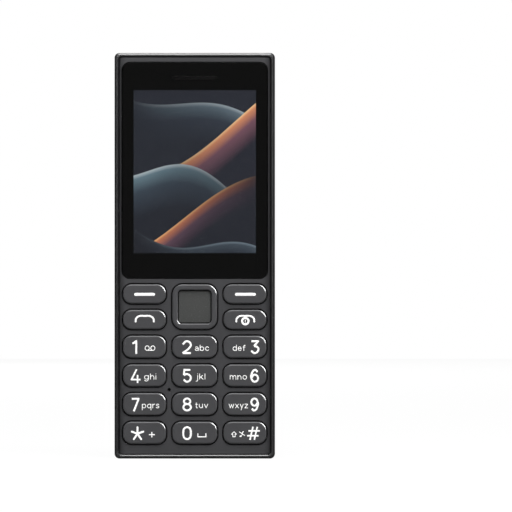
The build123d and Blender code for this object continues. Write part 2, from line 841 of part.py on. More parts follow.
can_z = bay_top_z - can_below_bay_top
with BuildPart() as shield_cans:
    with BuildSketch(facing_front(board_back_y)):
        with Locations((-can_centre_x, can_z), (can_centre_x, can_z)):
            RectangleRounded(can_width, can_height, can_corner_radius)
    extrude(amount=-can_depth)
save(shield_cans, "shield_cans")


# Card holders: folded metal covers on the back of the board, open at the lower end
def build_card_holder(name, centre_x, centre_z, width, height, slot_width):
    with BuildPart() as holder:
        with BuildSketch(facing_front(board_back_y)):
            with Locations((centre_x, centre_z)):
                Rectangle(width, height)
        extrude(amount=-sim_depth)
        slot_front_y = card_back_y - card_metal - card_slot_depth
        with BuildSketch(facing_front(slot_front_y)):
            with Locations((centre_x, centre_z - card_metal)):
                Rectangle(slot_width, height)
        extrude(amount=-card_slot_depth, mode=Mode.SUBTRACT)
    save(holder, name)


build_card_holder("sim_holder_1", -sim_centre_x, sim_z, sim_width, sim_height, card_slot_width)
build_card_holder("sim_holder_2", sim_centre_x, sim_z, sim_width, sim_height, card_slot_width)
build_card_holder("memory_card_holder", 0, memory_z, memory_width, memory_height, memory_slot_width)

# Rear chassis: closes the back of the housing, with the battery bay and pockets for tall parts
tall_top_z = chassis_top_z - chassis_wall
tall_low_z = bay_top_z + chassis_wall
low_top_z = bay_bottom_z - chassis_wall
low_bottom_z = chassis_bottom_z + chassis_wall
antenna_z = antenna_bottom_z + antenna_height / 2
antenna_floor_y = back_y - chassis_inset - antenna_pocket_depth
with BuildPart() as chassis:
    with BuildSketch(Plane.XY.offset(chassis_bottom_z)):
        add(case_profile(chassis_inset, board_back_y))
    extrude(amount=chassis_top_z - chassis_bottom_z)
    with BuildSketch(facing_front(board_back_y)):
        with Locations((0, body_height / 2)):
            RectangleRounded(
                body_width - 2 * chassis_inset, chassis_top_z - chassis_bottom_z, seam_corner_radius
            )
    extrude(amount=-body_depth, mode=Mode.INTERSECT)
    # Shallow space behind the whole board, and deep pockets above and below the battery bay.
    # The screw columns stay standing in all three.
    with BuildSketch(facing_front(board_back_y - overrun)):
        with Locations((0, board_centre_z)):
            Rectangle(board_width, board_height)
        with Locations(*boss_places):
            Circle(column_radius, mode=Mode.SUBTRACT)
    extrude(amount=-(component_space + overrun), mode=Mode.SUBTRACT)
    for pocket_width, pocket_depth, pocket_top_z, pocket_bottom_z in (
        (top_pocket_width, top_pocket_depth, tall_top_z, tall_low_z),
        (sound_pocket_width, sound_pocket_depth, low_top_z, low_bottom_z),
    ):
        with BuildSketch(facing_front(board_back_y)):
            with Locations((0, (pocket_top_z + pocket_bottom_z) / 2)):
                RectangleRounded(
                    pocket_width, pocket_top_z - pocket_bottom_z, pocket_corner_radius
                )
            with Locations(*boss_places):
                Circle(column_radius, mode=Mode.SUBTRACT)
        extrude(amount=-pocket_depth, mode=Mode.SUBTRACT)
    # Battery bay, open to the back
    with BuildSketch(facing_front(floor_back_y)):
        with Locations((0, bay_centre_z)):
            RectangleRounded(bay_width, bay_length, bay_corner_radius)
    extrude(amount=-body_depth, mode=Mode.SUBTRACT)
    # Windows in its floor for the card holders, and one in its end wall for the contacts
    with BuildSketch(facing_front(board_back_y)):
        with Locations((-sim_centre_x, sim_z), (sim_centre_x, sim_z)):
            Rectangle(sim_width + 2 * part_gap, sim_height + 2 * part_gap)
        with Locations((0, memory_z)):
            Rectangle(memory_width + 2 * part_gap, memory_height + 2 * part_gap)
        with Locations((contact_centre_x, bay_top_z + chassis_wall / 2)):
            Rectangle(contact_block_width + 2 * part_gap, chassis_wall + 2 * overrun)
    extrude(amount=-(contact_block_depth + part_gap), mode=Mode.SUBTRACT)
    # Screw holes with a counterbore from the back
    with BuildSketch(facing_front(board_back_y - overrun)):
        with Locations(*boss_places):
            Circle(screw_clearance_radius)
    extrude(amount=-body_depth, mode=Mode.SUBTRACT)
    with BuildSketch(facing_front(screw_seat_y)):
        with Locations(*boss_places):
            Circle(screw_bore_radius)
    extrude(amount=-body_depth, mode=Mode.SUBTRACT)
    # Openings in the two ends
    with BuildSketch(facing_up(chassis_bottom_z - overrun)):
        with Locations((0, usb_y)):
            SlotOverall(usb_width + 2 * part_gap, usb_depth + 2 * part_gap)
        with Locations((-speaker_x, speaker_y)):
            with GridLocations(speaker_slot_pitch, 0, speaker_slot_count, 1):
                SlotOverall(speaker_slot_length, speaker_slot_width, rotation=90)
    extrude(amount=chassis_wall + 2 * overrun, mode=Mode.SUBTRACT)
    with BuildSketch(facing_up(chassis_top_z + overrun)):
        with Locations((jack_x, jack_y)):
            Circle(jack_nose_radius + part_gap)
        with Locations((0, torch_y)):
            Circle(torch_radius + part_gap)
    extrude(amount=-(chassis_wall + 2 * overrun), mode=Mode.SUBTRACT)
    # Flat seat for the antenna film
    with BuildSketch(facing_front(antenna_floor_y)):
        with Locations((0, antenna_z)):
            RectangleRounded(
                antenna_width + 2 * part_gap, antenna_height + 2 * part_gap, antenna_corner_radius
            )
    extrude(amount=-body_depth, mode=Mode.SUBTRACT)
save(chassis, "chassis")

with BuildPart() as antenna_film:
    with BuildSketch(facing_front(antenna_floor_y)):
        with Locations((0, antenna_z)):
            RectangleRounded(antenna_width, antenna_height, antenna_corner_radius)
    extrude(amount=-antenna_thickness)
save(antenna_film, "antenna_film")

# Screws from the back into the bosses of the front housing
with BuildPart() as chassis_screws:
    with BuildSketch(facing_front(screw_seat_y)):
        with Locations(*boss_places):
            Circle(screw_head_radius)
    extrude(amount=-screw_head_depth)
    with BuildSketch(facing_front(screw_seat_y + screw_head_depth)):
        with Locations(*boss_places):
            RegularPolygon(screw_drive_radius, screw_drive_sides)
    extrude(amount=screw_drive_depth, mode=Mode.SUBTRACT)
    with BuildSketch(facing_front(screw_seat_y)):
        with Locations(*boss_places):
            Circle(screw_shank_radius)
    extrude(amount=screw_seat_y - plate_back_y - screw_pilot_end_wall - part_gap)
save(chassis_screws, "chassis_screws")

# Battery: one rounded block, split into the metal can and the plastic end cap
cap_joint = Plane.XY.offset(battery_top_z - battery_cap_length)
with BuildPart() as battery_block:
    with BuildSketch(facing_front(battery_front_y)):
        with Locations((0, (battery_top_z + battery_bottom_z) / 2)):
            RectangleRounded(battery_width, battery_length, battery_corner_radius)
    extrude(amount=-battery_thickness)
    fillet(battery_block.faces().filter_by(Axis.Y).edges(), battery_edge_radius)

with BuildPart() as battery_cell:
    add(battery_block.part)
    split(bisect_by=cap_joint, keep=Keep.BOTTOM)
save(battery_cell, "battery_cell")

with BuildPart() as battery_cap:
    add(battery_block.part)
    split(bisect_by=cap_joint, keep=Keep.TOP)
    with BuildSketch(facing_front(battery_front_y + battery_edge_radius)):
        with Locations((contact_centre_x, battery_top_z)):
            with GridLocations(battery_pad_pitch, 0, battery_pad_count, 1):
                Rectangle(battery_pad_width, 2 * battery_pad_depth)
    extrude(amount=-battery_pad_height, mode=Mode.SUBTRACT)
save(battery_cap, "battery_cap")

with BuildPart() as battery_pads:
    with BuildSketch(facing_front(battery_front_y + battery_edge_radius)):
        with Locations((contact_centre_x, battery_top_z - battery_pad_depth * 3 / 4)):
            with GridLocations(battery_pad_pitch, 0, battery_pad_count, 1):
                Rectangle(battery_pad_width, battery_pad_depth / 2)
    extrude(amount=-battery_pad_height)
save(battery_pads, "battery_pads")

# Spring contacts for the battery, in the end wall of the bay
with BuildPart() as battery_contacts:
    with BuildSketch(facing_front(board_back_y)):
        with Locations((contact_centre_x, bay_top_z + contact_block_height / 2)):
            Rectangle(contact_block_width, contact_block_height)
    extrude(amount=-contact_block_depth)
    with BuildSketch(facing_front(battery_front_y + battery_pad_height / 4)):
        with Locations((contact_centre_x, bay_top_z)):
            with GridLocations(battery_pad_pitch, 0, battery_pad_count, 1):
                Rectangle(contact_blade_width, 2 * contact_blade_reach)
    extrude(amount=-contact_blade_depth)
save(battery_contacts, "battery_contacts")

# Headset socket
with BuildPart() as headset_jack:
    with BuildSketch(facing_up(jack_top_z)):
        with Locations((jack_x, jack_y)):
            Rectangle(jack_width, jack_depth)
    extrude(amount=-jack_length)
    with BuildSketch(facing_up(jack_top_z)):
        with Locations((jack_x, jack_y)):
            Circle(jack_nose_radius)
    extrude(amount=chassis_wall)
    with BuildSketch(facing_up(jack_top_z + chassis_wall)):
        with Locations((jack_x, jack_y)):
            Circle(jack_bore_radius)
    extrude(amount=-jack_bore_length, mode=Mode.SUBTRACT)
save(headset_jack, "headset_jack")

# Charging socket: a drawn metal shell with the contact tongue inside
with BuildPart() as usb_shell_part:
    with BuildSketch(facing_up(usb_mouth_z)):
        with Locations((0, usb_y)):
            SlotOverall(usb_width, usb_depth)
    extrude(amount=usb_length)
    with BuildSketch(facing_up(usb_mouth_z)):
        with Locations((0, usb_y)):
            SlotOverall(usb_width - 2 * usb_shell, usb_depth - 2 * usb_shell)
    extrude(amount=usb_length - usb_shell, mode=Mode.SUBTRACT)
save(usb_shell_part, "usb_shell")

with BuildPart() as usb_tongue:
    with BuildSketch(facing_up(usb_mouth_z + usb_length - usb_shell)):
        with Locations((0, usb_y)):
            Rectangle(usb_tongue_width, usb_tongue_depth)
    extrude(amount=-usb_tongue_length)
save(usb_tongue, "usb_tongue")

# Torch: a clear lens in the top wall and its lamp below
with BuildPart() as torch_lens:
    with BuildSketch(facing_up(chassis_top_z - part_gap)):
        with Locations((0, torch_y)):
            Circle(torch_radius)
    extrude(amount=-chassis_wall)
    with BuildSketch(facing_up(chassis_top_z - part_gap - chassis_wall)):
        with Locations((0, torch_y)):
            Circle(torch_flange_radius)
    extrude(amount=-torch_flange_depth)
save(torch_lens, "torch_lens")

torch_led_top_z = chassis_top_z - part_gap - chassis_wall - torch_flange_depth - part_gap
with BuildPart() as torch_led:
    with BuildSketch(facing_up(torch_led_top_z)):
        with Locations((0, board_back_y + torch_led_size / 2)):
            Rectangle(torch_led_size, torch_led_size)
    extrude(amount=-torch_led_height)
save(torch_led, "torch_led")

# Loudspeaker and its dust mesh behind the slots in the bottom end
with BuildPart() as loudspeaker:
    with BuildSketch(facing_front(speaker_y - speaker_depth / 2)):
        with Locations((-speaker_x, speaker_bottom_z + speaker_height / 2)):
            RectangleRounded(speaker_width, speaker_height, speaker_corner_radius)
    extrude(amount=-speaker_depth)
    with BuildSketch(facing_front(speaker_y + speaker_depth / 2)):
        with Locations((-speaker_x, speaker_bottom_z + speaker_height / 2)):
            RectangleRounded(
                speaker_width * speaker_cone_share,
                speaker_height * speaker_cone_share,
                speaker_corner_radius,
            )
    extrude(amount=speaker_cone_depth, mode=Mode.SUBTRACT)
save(loudspeaker, "loudspeaker")

with BuildPart() as speaker_mesh:
    mesh_width = speaker_slot_pitch * speaker_slot_count + speaker_mesh_margin
    with BuildSketch(facing_up(chassis_bottom_z + chassis_wall)):
        with Locations((-speaker_x, speaker_y)):
            Rectangle(mesh_width, speaker_slot_length + speaker_mesh_margin)
    extrude(amount=speaker_mesh_thickness)
save(speaker_mesh, "speaker_mesh")

# Vibration motor on the back of the board
with BuildPart() as vibration_motor:
    with BuildSketch(facing_front(board_back_y)):
        with Locations((-motor_x, motor_z)):
            Circle(motor_radius)
    extrude(amount=-motor_depth)
save(vibration_motor, "vibration_motor")

print("overall size", round(body_width, 2), round(body_depth, 2), round(body_height, 2))
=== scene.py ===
import math

import bmesh
import bpy
from mathutils import Matrix, Vector


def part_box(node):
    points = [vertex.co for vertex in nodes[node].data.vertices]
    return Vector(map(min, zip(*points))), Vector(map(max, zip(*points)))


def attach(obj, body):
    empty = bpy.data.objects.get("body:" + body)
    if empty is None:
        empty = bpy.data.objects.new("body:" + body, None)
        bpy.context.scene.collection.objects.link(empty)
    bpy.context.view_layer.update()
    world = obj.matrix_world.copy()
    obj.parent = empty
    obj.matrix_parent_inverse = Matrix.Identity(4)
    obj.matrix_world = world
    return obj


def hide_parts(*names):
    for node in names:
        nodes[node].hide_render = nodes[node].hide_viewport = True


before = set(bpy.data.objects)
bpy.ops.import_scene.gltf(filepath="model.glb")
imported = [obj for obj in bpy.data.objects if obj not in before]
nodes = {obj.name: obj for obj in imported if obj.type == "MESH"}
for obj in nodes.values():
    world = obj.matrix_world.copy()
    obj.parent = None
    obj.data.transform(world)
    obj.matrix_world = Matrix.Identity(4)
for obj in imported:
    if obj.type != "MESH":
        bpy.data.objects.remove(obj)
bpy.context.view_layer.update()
mm = 0.001
print("frame loaded:", len(nodes), "nodes")


# Node and colour helpers
def toLinear(hexColor):
    parts = [int(hexColor[i:i + 2], 16) / 255 for i in (1, 3, 5)]
    return tuple(c / 12.92 if c < 0.04045 else ((c + 0.055) / 1.055) ** 2.4 for c in parts) + (1.0,)


def addNode(tree, kind, settings=None, links=None):
    node = tree.nodes.new("ShaderNode" + kind)
    for key, value in (settings or {}).items():
        if isinstance(key, int) or key in node.inputs:
            node.inputs[key].default_value = value
        else:
            setattr(node, key, value)
    for key, socket in (links or {}).items():
        tree.links.new(socket, node.inputs[key])
    return node


def startMaterial(name):
    material = bpy.data.materials.new(name)
    material.use_nodes = True
    material.node_tree.nodes.clear()
    return material, material.node_tree


def endMaterial(tree, settings, links):
    shader = addNode(tree, "BsdfPrincipled", settings, links)
    addNode(tree, "OutputMaterial", None, {"Surface": shader.outputs["BSDF"]})


# What all finishes share: the size in mm and the ramp of the slow change of tone, the least
# roughness, and the near-black colour of the painted shade in gaps and openings
finishBase = {"broad": 9, "toneFrom": 0.3, "toneTo": 0.7, "leastRough": 0.02, "gapShade": "#0b0b0c"}


# A moulded, sprayed, stamped or plated surface: fine grain, a slow change of tone, uneven gloss.
# grain and depth are millimetres; stretch draws the grain out along X, Y or Z, as brushing does.
# The depth ramp gives the depths (Y, mm) between which the face turns to near-black painted shade,
# the shade in the gaps and openings; the side ramp gives the distances from the middle (X, mm) over
# which painted shade darkens the face towards its sides, how dark it gets, and the distance beyond
# which the rolled edge gets no gap shade.
def makeFinish(name, color, roughness, metallic=0.0, grain=0.25, depth=0.004, tone=0.06,
               glossChange=0.05, stretch=(1, 1, 1), gapShadeDepth=None, sideShade=None, **extra):
    material, tree = startMaterial(name)
    place = addNode(tree, "TexCoord")
    mapping = addNode(tree, "Mapping", {"Scale": stretch}, {"Vector": place.outputs["Object"]})
    fine = addNode(tree, "TexNoise", {"Scale": 1 / (grain * mm), "Detail": 3.0, "Roughness": 0.6},
                   {"Vector": mapping.outputs["Vector"]})
    broad = addNode(tree, "TexNoise", {"Scale": 1 / (finishBase["broad"] * mm), "Detail": 2.0},
                    {"Vector": place.outputs["Object"]})
    base = toLinear(color)
    ramp = addNode(tree, "ValToRGB", None, {"Fac": broad.outputs["Fac"]})
    dark, light = ramp.color_ramp.elements
    dark.position = finishBase["toneFrom"]
    dark.color = tuple(c * (1 - tone) for c in base[:3]) + (1.0,)
    light.position = finishBase["toneTo"]
    light.color = tuple(min(1, c * (1 + tone)) for c in base[:3]) + (1.0,)
    paint = ramp.outputs["Color"]
    # Painted shade: the colour turns near black deeper than the front face, darkening the gaps and
    # openings
    if gapShadeDepth:
        spot = addNode(tree, "SeparateXYZ", None, {"Vector": place.outputs["Object"]})
        inside = addNode(tree, "MapRange", {"From Min": gapShadeDepth[0] * mm,
                                            "From Max": gapShadeDepth[1] * mm},
                         {"Value": spot.outputs["Y"]})
        # Painted shade: the face darkens towards its sides
        if sideShade:
            aside = addNode(tree, "Math", {"operation": "ABSOLUTE"}, {0: spot.outputs["X"]})
            sideShadeRamp = addNode(tree, "MapRange", {"From Min": sideShade[0] * mm,
                                                 "From Max": sideShade[1] * mm,
                                                 "To Max": sideShade[2]},
                              {"Value": aside.outputs[0]})
            roll = addNode(tree, "Math", {"operation": "LESS_THAN", 1: sideShade[3] * mm},
                           {0: aside.outputs[0]})
            inside = addNode(tree, "Math", {"operation": "MULTIPLY"}, {0: inside.outputs["Result"],
                                                                       1: roll.outputs[0]})
            inside = addNode(tree, "Math", {"operation": "MAXIMUM"}, {0: inside.outputs[0],
                                                                      1: sideShadeRamp.outputs["Result"]})
        paint = addNode(tree, "Mix", {"data_type": "RGBA", 7: toLinear(finishBase["gapShade"])},
                        {0: inside.outputs[0], 6: paint}).outputs[2]
    gloss = addNode(tree, "MapRange",
                    {"To Min": max(finishBase["leastRough"], roughness - glossChange),
                     "To Max": min(1, roughness + glossChange)},
                    {"Value": fine.outputs["Fac"]})
    bump = addNode(tree, "Bump", {"Strength": 1.0, "Distance": depth * mm},
                   {"Height": fine.outputs["Fac"]})
    endMaterial(tree, {"Metallic": metallic, **extra},
                {"Base Color": paint, "Roughness": gloss.outputs["Result"],
                 "Normal": bump.outputs["Normal"]})
    return material


# Camera: as far off as a product shot, square on the front. Places are mm, clips are metres.
cameraView = {"across": 18.33, "height": 60.62, "away": 1500.0, "frameWidth": 153.14,
              "facePlane": -6.3, "sensor": 36.0, "clipStart": 0.05, "clipEnd": 20.0}
cameraData = bpy.data.cameras.new("photoCamera")
cameraData.sensor_width = cameraView["sensor"]
cameraData.lens = (cameraView["sensor"] * (cameraView["away"] + cameraView["facePlane"])
                   / cameraView["frameWidth"])
cameraData.clip_start = cameraView["clipStart"]
cameraData.clip_end = cameraView["clipEnd"]
camera = bpy.data.objects.new("photoCamera", cameraData)
camera.location = (cameraView["across"] * mm, -cameraView["away"] * mm, cameraView["height"] * mm)
camera.rotation_euler = (math.radians(90), 0, 0)
bpy.context.scene.collection.objects.link(camera)
bpy.context.scene.camera = camera
bpy.context.scene.view_settings.view_transform = "Standard"
print("camera ready")

# Studio: white to the camera, soft and even on the object, with a bright ceiling, dark walls and a
# faint light from the front in its gloss. The floor's size is metres, its drop and fibres are mm.
studio = {"ambient": 0.30, "wall": 0.03, "ceiling": 0.5, "ceilingStart": 0.30, "ceilingFull": 0.85,
          "front": 0.12, "frontStart": -0.75, "frontFull": -0.98,
          "floorSize": 2.9, "floorDrop": 0.02, "floorFibre": 0.8, "fibreDepth": 0.02,
          "floorGlow": 0.95, "floorGloss": 0.2, "floorWhite": 0.85, "floorBounce": 0.3}
world = bpy.data.worlds.new("studio")
world.use_nodes = True
worldTree = world.node_tree
worldTree.nodes.clear()
rays = addNode(worldTree, "LightPath")
direction = addNode(worldTree, "TexCoord")
parts = addNode(worldTree, "SeparateXYZ", None, {"Vector": direction.outputs["Generated"]})
ceiling = addNode(worldTree, "MapRange", {"interpolation_type": "SMOOTHSTEP",
                                          "From Min": studio["ceilingStart"],
                                          "From Max": studio["ceilingFull"],
                                          "To Min": studio["wall"], "To Max": studio["ceiling"]},
                  {"Value": parts.outputs["Z"]})
front = addNode(worldTree, "MapRange", {"interpolation_type": "SMOOTHSTEP",
                                        "From Min": studio["frontStart"],
                                        "From Max": studio["frontFull"], "To Max": studio["front"]},
                {"Value": parts.outputs["Y"]})
both = addNode(worldTree, "Math", {"operation": "ADD"}, {0: ceiling.outputs["Result"],
                                                         1: front.outputs["Result"]})
glossLight = addNode(worldTree, "Background", {"Color": (1, 1, 1, 1)},
                     {"Strength": both.outputs[0]})
softLight = addNode(worldTree, "Background", {"Color": (1, 1, 1, 1), "Strength": studio["ambient"]})
backdrop = addNode(worldTree, "Background", {"Color": (1, 1, 1, 1), "Strength": 1.0})
lit = addNode(worldTree, "MixShader", None, {0: rays.outputs["Is Glossy Ray"],
                                             1: softLight.outputs[0], 2: glossLight.outputs[0]})
seen = addNode(worldTree, "MixShader", None, {0: rays.outputs["Is Camera Ray"],
                                              1: lit.outputs[0], 2: backdrop.outputs[0]})
addNode(worldTree, "OutputWorld", None, {"Surface": seen.outputs[0]})
bpy.context.scene.world = world

# The cards only show in gloss, each on its own pieces: one draws the short white lines at the caps'
# upper right corners, one the thin light along the caps' tops, one the light along the cover's rim
# and one its light from behind. Places and sizes are metres; all lamps face the phone's middle.
keyNames = [name for name in nodes if name.startswith(("key_", "soft_key", "call_key", "end_key"))]
capNames = keyNames + ["nav_ring", "select_key"]
lampsFace = Vector((0, 0, 0.06))
lamps = {
    "keyLamp": {"place": (0.72, -0.80, 0.80), "size": 0.30, "power": 5.0},
    "overheadBox": {"place": (0.02, -0.24, 0.42), "size": 0.40, "power": 2.75},
    "sparkCard": {"place": (0.92, -0.61, 0.78), "size": 1.40, "power": 170.0, "glossOn": capNames},
    "capCard": {"place": (0.0, -0.50, 1.10), "size": 1.20, "power": 12.0, "glossOn": capNames},
    "rimCard": {"place": (0.0, -0.75, 1.00), "size": 0.35, "tall": 1.90, "power": 42.0,
                "glossOn": ["rear_cover"]},
    "backBox": {"place": (-0.35, 1.15, 0.45), "size": 0.80, "power": 9.0},
    "backCard": {"place": (-0.10, 0.75, 1.00), "size": 0.35, "tall": 1.40, "power": 6.0,
                 "glossOn": ["rear_cover"]},
}
for name, lamp in lamps.items():
    data = bpy.data.lights.new(name, "AREA")
    data.shape = "ELLIPSE" if "tall" in lamp else "DISK"
    data.size = lamp["size"]
    data.size_y = lamp.get("tall", lamp["size"])
    data.energy = lamp["power"]
    lampObject = bpy.data.objects.new(name, data)
    if "glossOn" in lamp:
        lampObject.visible_diffuse = False
        receivers = bpy.data.collections.new(name)
        for node in lamp["glossOn"]:
            receivers.objects.link(nodes[node])
        lampObject.light_linking.receiver_collection = receivers
    else:
        lampObject.visible_glossy = False
    lampObject.location = lamp["place"]
    toPhone = lampsFace - Vector(lamp["place"])
    lampObject.rotation_euler = toPhone.to_track_quat("-Z", "Y").to_euler()
    bpy.context.scene.collection.objects.link(lampObject)

# Matt white paper sweep under the phone
floorMesh = bpy.data.meshes.new("floor")
bm = bmesh.new()
bmesh.ops.create_grid(bm, x_segments=1, y_segments=1, size=studio["floorSize"] / 2)
bm.to_mesh(floorMesh)
bm.free()
floor = bpy.data.objects.new("floor", floorMesh)
bpy.context.scene.collection.objects.link(floor)
paper, tree = startMaterial("mattWhitePaper")
rays = addNode(tree, "LightPath")
place = addNode(tree, "TexCoord")
fibre = addNode(tree, "TexNoise", {"Scale": 1 / (studio["floorFibre"] * mm), "Detail": 2.0},
                {"Vector": place.outputs["Object"]})
bump = addNode(tree, "Bump", {"Distance": studio["fibreDepth"] * mm},
               {"Height": fibre.outputs["Fac"]})
tone = addNode(tree, "MapRange", {"To Min": studio["floorBounce"], "To Max": studio["floorWhite"]},
               {"Value": rays.outputs["Is Camera Ray"]})
diffuse = addNode(tree, "BsdfDiffuse", None, {"Color": tone.outputs["Result"],
                                              "Normal": bump.outputs["Normal"]})
shine = addNode(tree, "MapRange", {"To Min": 1.0, "To Max": studio["floorGloss"]},
                {"Value": rays.outputs["Is Glossy Ray"]})
glow = addNode(tree, "Emission", {"Color": (1, 1, 1, 1)}, {"Strength": shine.outputs["Result"]})
seen = addNode(tree, "Math", {"operation": "MULTIPLY", 1: studio["floorGlow"]},
               {0: rays.outputs["Is Camera Ray"]})
share = addNode(tree, "Math", {"operation": "MAXIMUM"}, {0: seen.outputs[0],
                                                         1: rays.outputs["Is Glossy Ray"]})
surface = addNode(tree, "MixShader", None, {0: share.outputs[0], 1: diffuse.outputs[0],
                                            2: glow.outputs[0]})
addNode(tree, "OutputMaterial", None, {"Surface": surface.outputs[0]})
floorMesh.materials.append(paper)
floor.location.z = -studio["floorDrop"] * mm
print("studio ready")

# Finishes of the CAD nodes
finishes = {
    # ABS plate, sprayed satin dark grey: faint orange peel, soft broad sheen; painted shade in its
    # openings and towards its sides
    "sprayedAbs": makeFinish("sprayedAbs", "#3e3e40", 0.32, grain=0.35, depth=0.0015, tone=0.05,
                             gapShadeDepth=(-6.3, -6.2), sideShade=(20.7, 22.3, 0.6, 22.06)),
    # Polycarbonate caps, two-shot moulded with a fine spark texture: a shade lighter, tighter
    # sheen; painted shade down their edges into the gaps
    "satinPolycarbonate": makeFinish("satinPolycarbonate", "#444446", 0.18, grain=0.22,
                                     depth=0.0012, tone=0.03, gapShadeDepth=(-6.7, -6.5)),
    # The same plastic for the select key, painted darker as shade because it lies lower than the
    # others, with painted shade down its edges
    "shadedSatinSelect": makeFinish("shadedSatinSelect", "#3f403f", 0.26, grain=0.22, depth=0.0022, tone=0.03,
                              gapShadeDepth=(-5.8, -5.6)),
    # Black polycarbonate shell with spark-eroded texture: dark, even, slightly silky
    "sparkedPolycarbonate": makeFinish("sparkedPolycarbonate", "#1d1d1e", 0.34, grain=0.2,
                                       depth=0.003, tone=0.05),
    # Gloss black screen print: deep, no texture of its own
    "glossBlackPrint": makeFinish("glossBlackPrint", "#29292c", 0.12, grain=0.6, depth=0.0,
                                  tone=0.1, glossChange=0.01),
    # Black closed-cell foam tape: open pores, no shine
    "foamTape": makeFinish("foamTape", "#141414", 0.95, grain=0.12, depth=0.03, tone=0.15),
    # Steel wire cloth, blackened: dull with small glints
    "blackenedMesh": makeFinish("blackenedMesh", "#0b0b0c", 0.6, metallic=0.2, grain=0.16,
                                depth=0.05, tone=0.1),
    # Cold-rolled stainless, folded: fine lines along the rolling direction
    "rolledSteel": makeFinish("rolledSteel", "#b4b4b6", 0.32, metallic=1.0, grain=0.12, depth=0.002,
                              stretch=(0.12, 1, 1)),
    # Polyimide flexible circuit: translucent amber over copper tracks
    "amberPolyimide": makeFinish("amberPolyimide", "#9a5a1c", 0.3, grain=1.2, depth=0.004,
                                 tone=0.25, stretch=(3, 1, 0.1)),
    # Pressed receiver capsule: satin nickel
    "nickelCapsule": makeFinish("nickelCapsule", "#a8a8a4", 0.35, metallic=1.0, grain=0.2,
                                depth=0.003),
    # Moulded silicone rubber, milky: matt, slightly dusty
    "milkySilicone": makeFinish("milkySilicone", "#b9b9b6", 0.6, grain=0.5, depth=0.006, tone=0.05),
    # Stiffer silicone pad: warmer grey
    "greySilicone": makeFinish("greySilicone", "#8c8c8a", 0.55, grain=0.4, depth=0.006, tone=0.05),
    # Spring steel domes: bright, mirror rolled
    "springSteel": makeFinish("springSteel", "#c9c9c6", 0.18, metallic=1.0, grain=0.3, depth=0.001),
    # Glass-epoxy board under green solder resist
    "greenSolderResist": makeFinish("greenSolderResist", "#17492c", 0.35, grain=0.5, depth=0.012,
                                    tone=0.3),
    # Gold-plated microphone can
    "goldPlate": makeFinish("goldPlate", "#d9b36a", 0.28, metallic=1.0, grain=0.2, depth=0.002),
    # White lamp body: ivory resin
    "ivoryResin": makeFinish("ivoryResin", "#e6e3cf", 0.4, grain=0.3, depth=0.003, tone=0.04),
    # Tinned steel cans: soft grey shine with solder haze
    "tinnedSteel": makeFinish("tinnedSteel", "#b9bab6", 0.38, metallic=1.0, grain=0.8, depth=0.004,
                              tone=0.12),
    # Stamped stainless holders: brushed along the card's way in
    "stampedStainless": makeFinish("stampedStainless", "#bcbcbe", 0.3, metallic=1.0, grain=0.1,
                                   depth=0.002, stretch=(1, 1, 0.1)),
    # Glass-filled black nylon chassis: matt, with flow marks
    "blackNylon": makeFinish("blackNylon", "#1f1f20", 0.55, grain=0.3, depth=0.006, tone=0.12),
    # Black coverlay over the antenna's flexible circuit: thin film, silky
    "blackCoverlay": makeFinish("blackCoverlay", "#1c1a19", 0.36, grain=0.6, depth=0.004, tone=0.1),
    # Printed film label: satin, pale grey
    "filmLabel": makeFinish("filmLabel", "#c9ccd0", 0.4, grain=0.7, depth=0.002, tone=0.02),
    # Dark ink on the label
    "labelInk": makeFinish("labelInk", "#2a2d33", 0.5, grain=0.3, depth=0.001, tone=0.04),
    # Copper film under a clear lacquer
    "copperFilm": makeFinish("copperFilm", "#b9783f", 0.33, metallic=1.0, grain=0.3, depth=0.003,
                             tone=0.12),
    # Black zinc-plated screws: dark with a faint blue shine
    "blackZinc": makeFinish("blackZinc", "#5b5c60", 0.32, metallic=1.0, grain=0.15, depth=0.002),
    # Aluminium cell can in a printed grey-blue wrap: satin film, small creases
    "wrappedCan": makeFinish("wrappedCan", "#8e939b", 0.38, grain=2.4, depth=0.03, tone=0.04),
    # Black moulded end cap: semi-gloss
    "blackCap": makeFinish("blackCap", "#1b1b1c", 0.35, grain=0.3, depth=0.004),
    # Black socket plastic: liquid crystal polymer, matt with fine flow lines
    "socketPlastic": makeFinish("socketPlastic", "#1a1a1b", 0.5, grain=0.25, depth=0.004,
                                stretch=(1, 1, 0.3)),
    # Clear polycarbonate torch lens, lightly ribbed by its pins
    "clearLensPlastic": makeFinish("clearLensPlastic", "#f4f5f6", 0.08, grain=0.5, depth=0.001,
                                   tone=0.01, glossChange=0.02, IOR=1.58,
                                   **{"Transmission Weight": 1.0}),
    # Yellow phosphor in a white lamp
    "phosphor": makeFinish("phosphor", "#e3cd4e", 0.5, grain=0.15, depth=0.006, tone=0.08),
    # Woven black polyester mesh
    "wovenMesh": makeFinish("wovenMesh", "#131314", 0.7, grain=0.12, depth=0.04, tone=0.2),
}

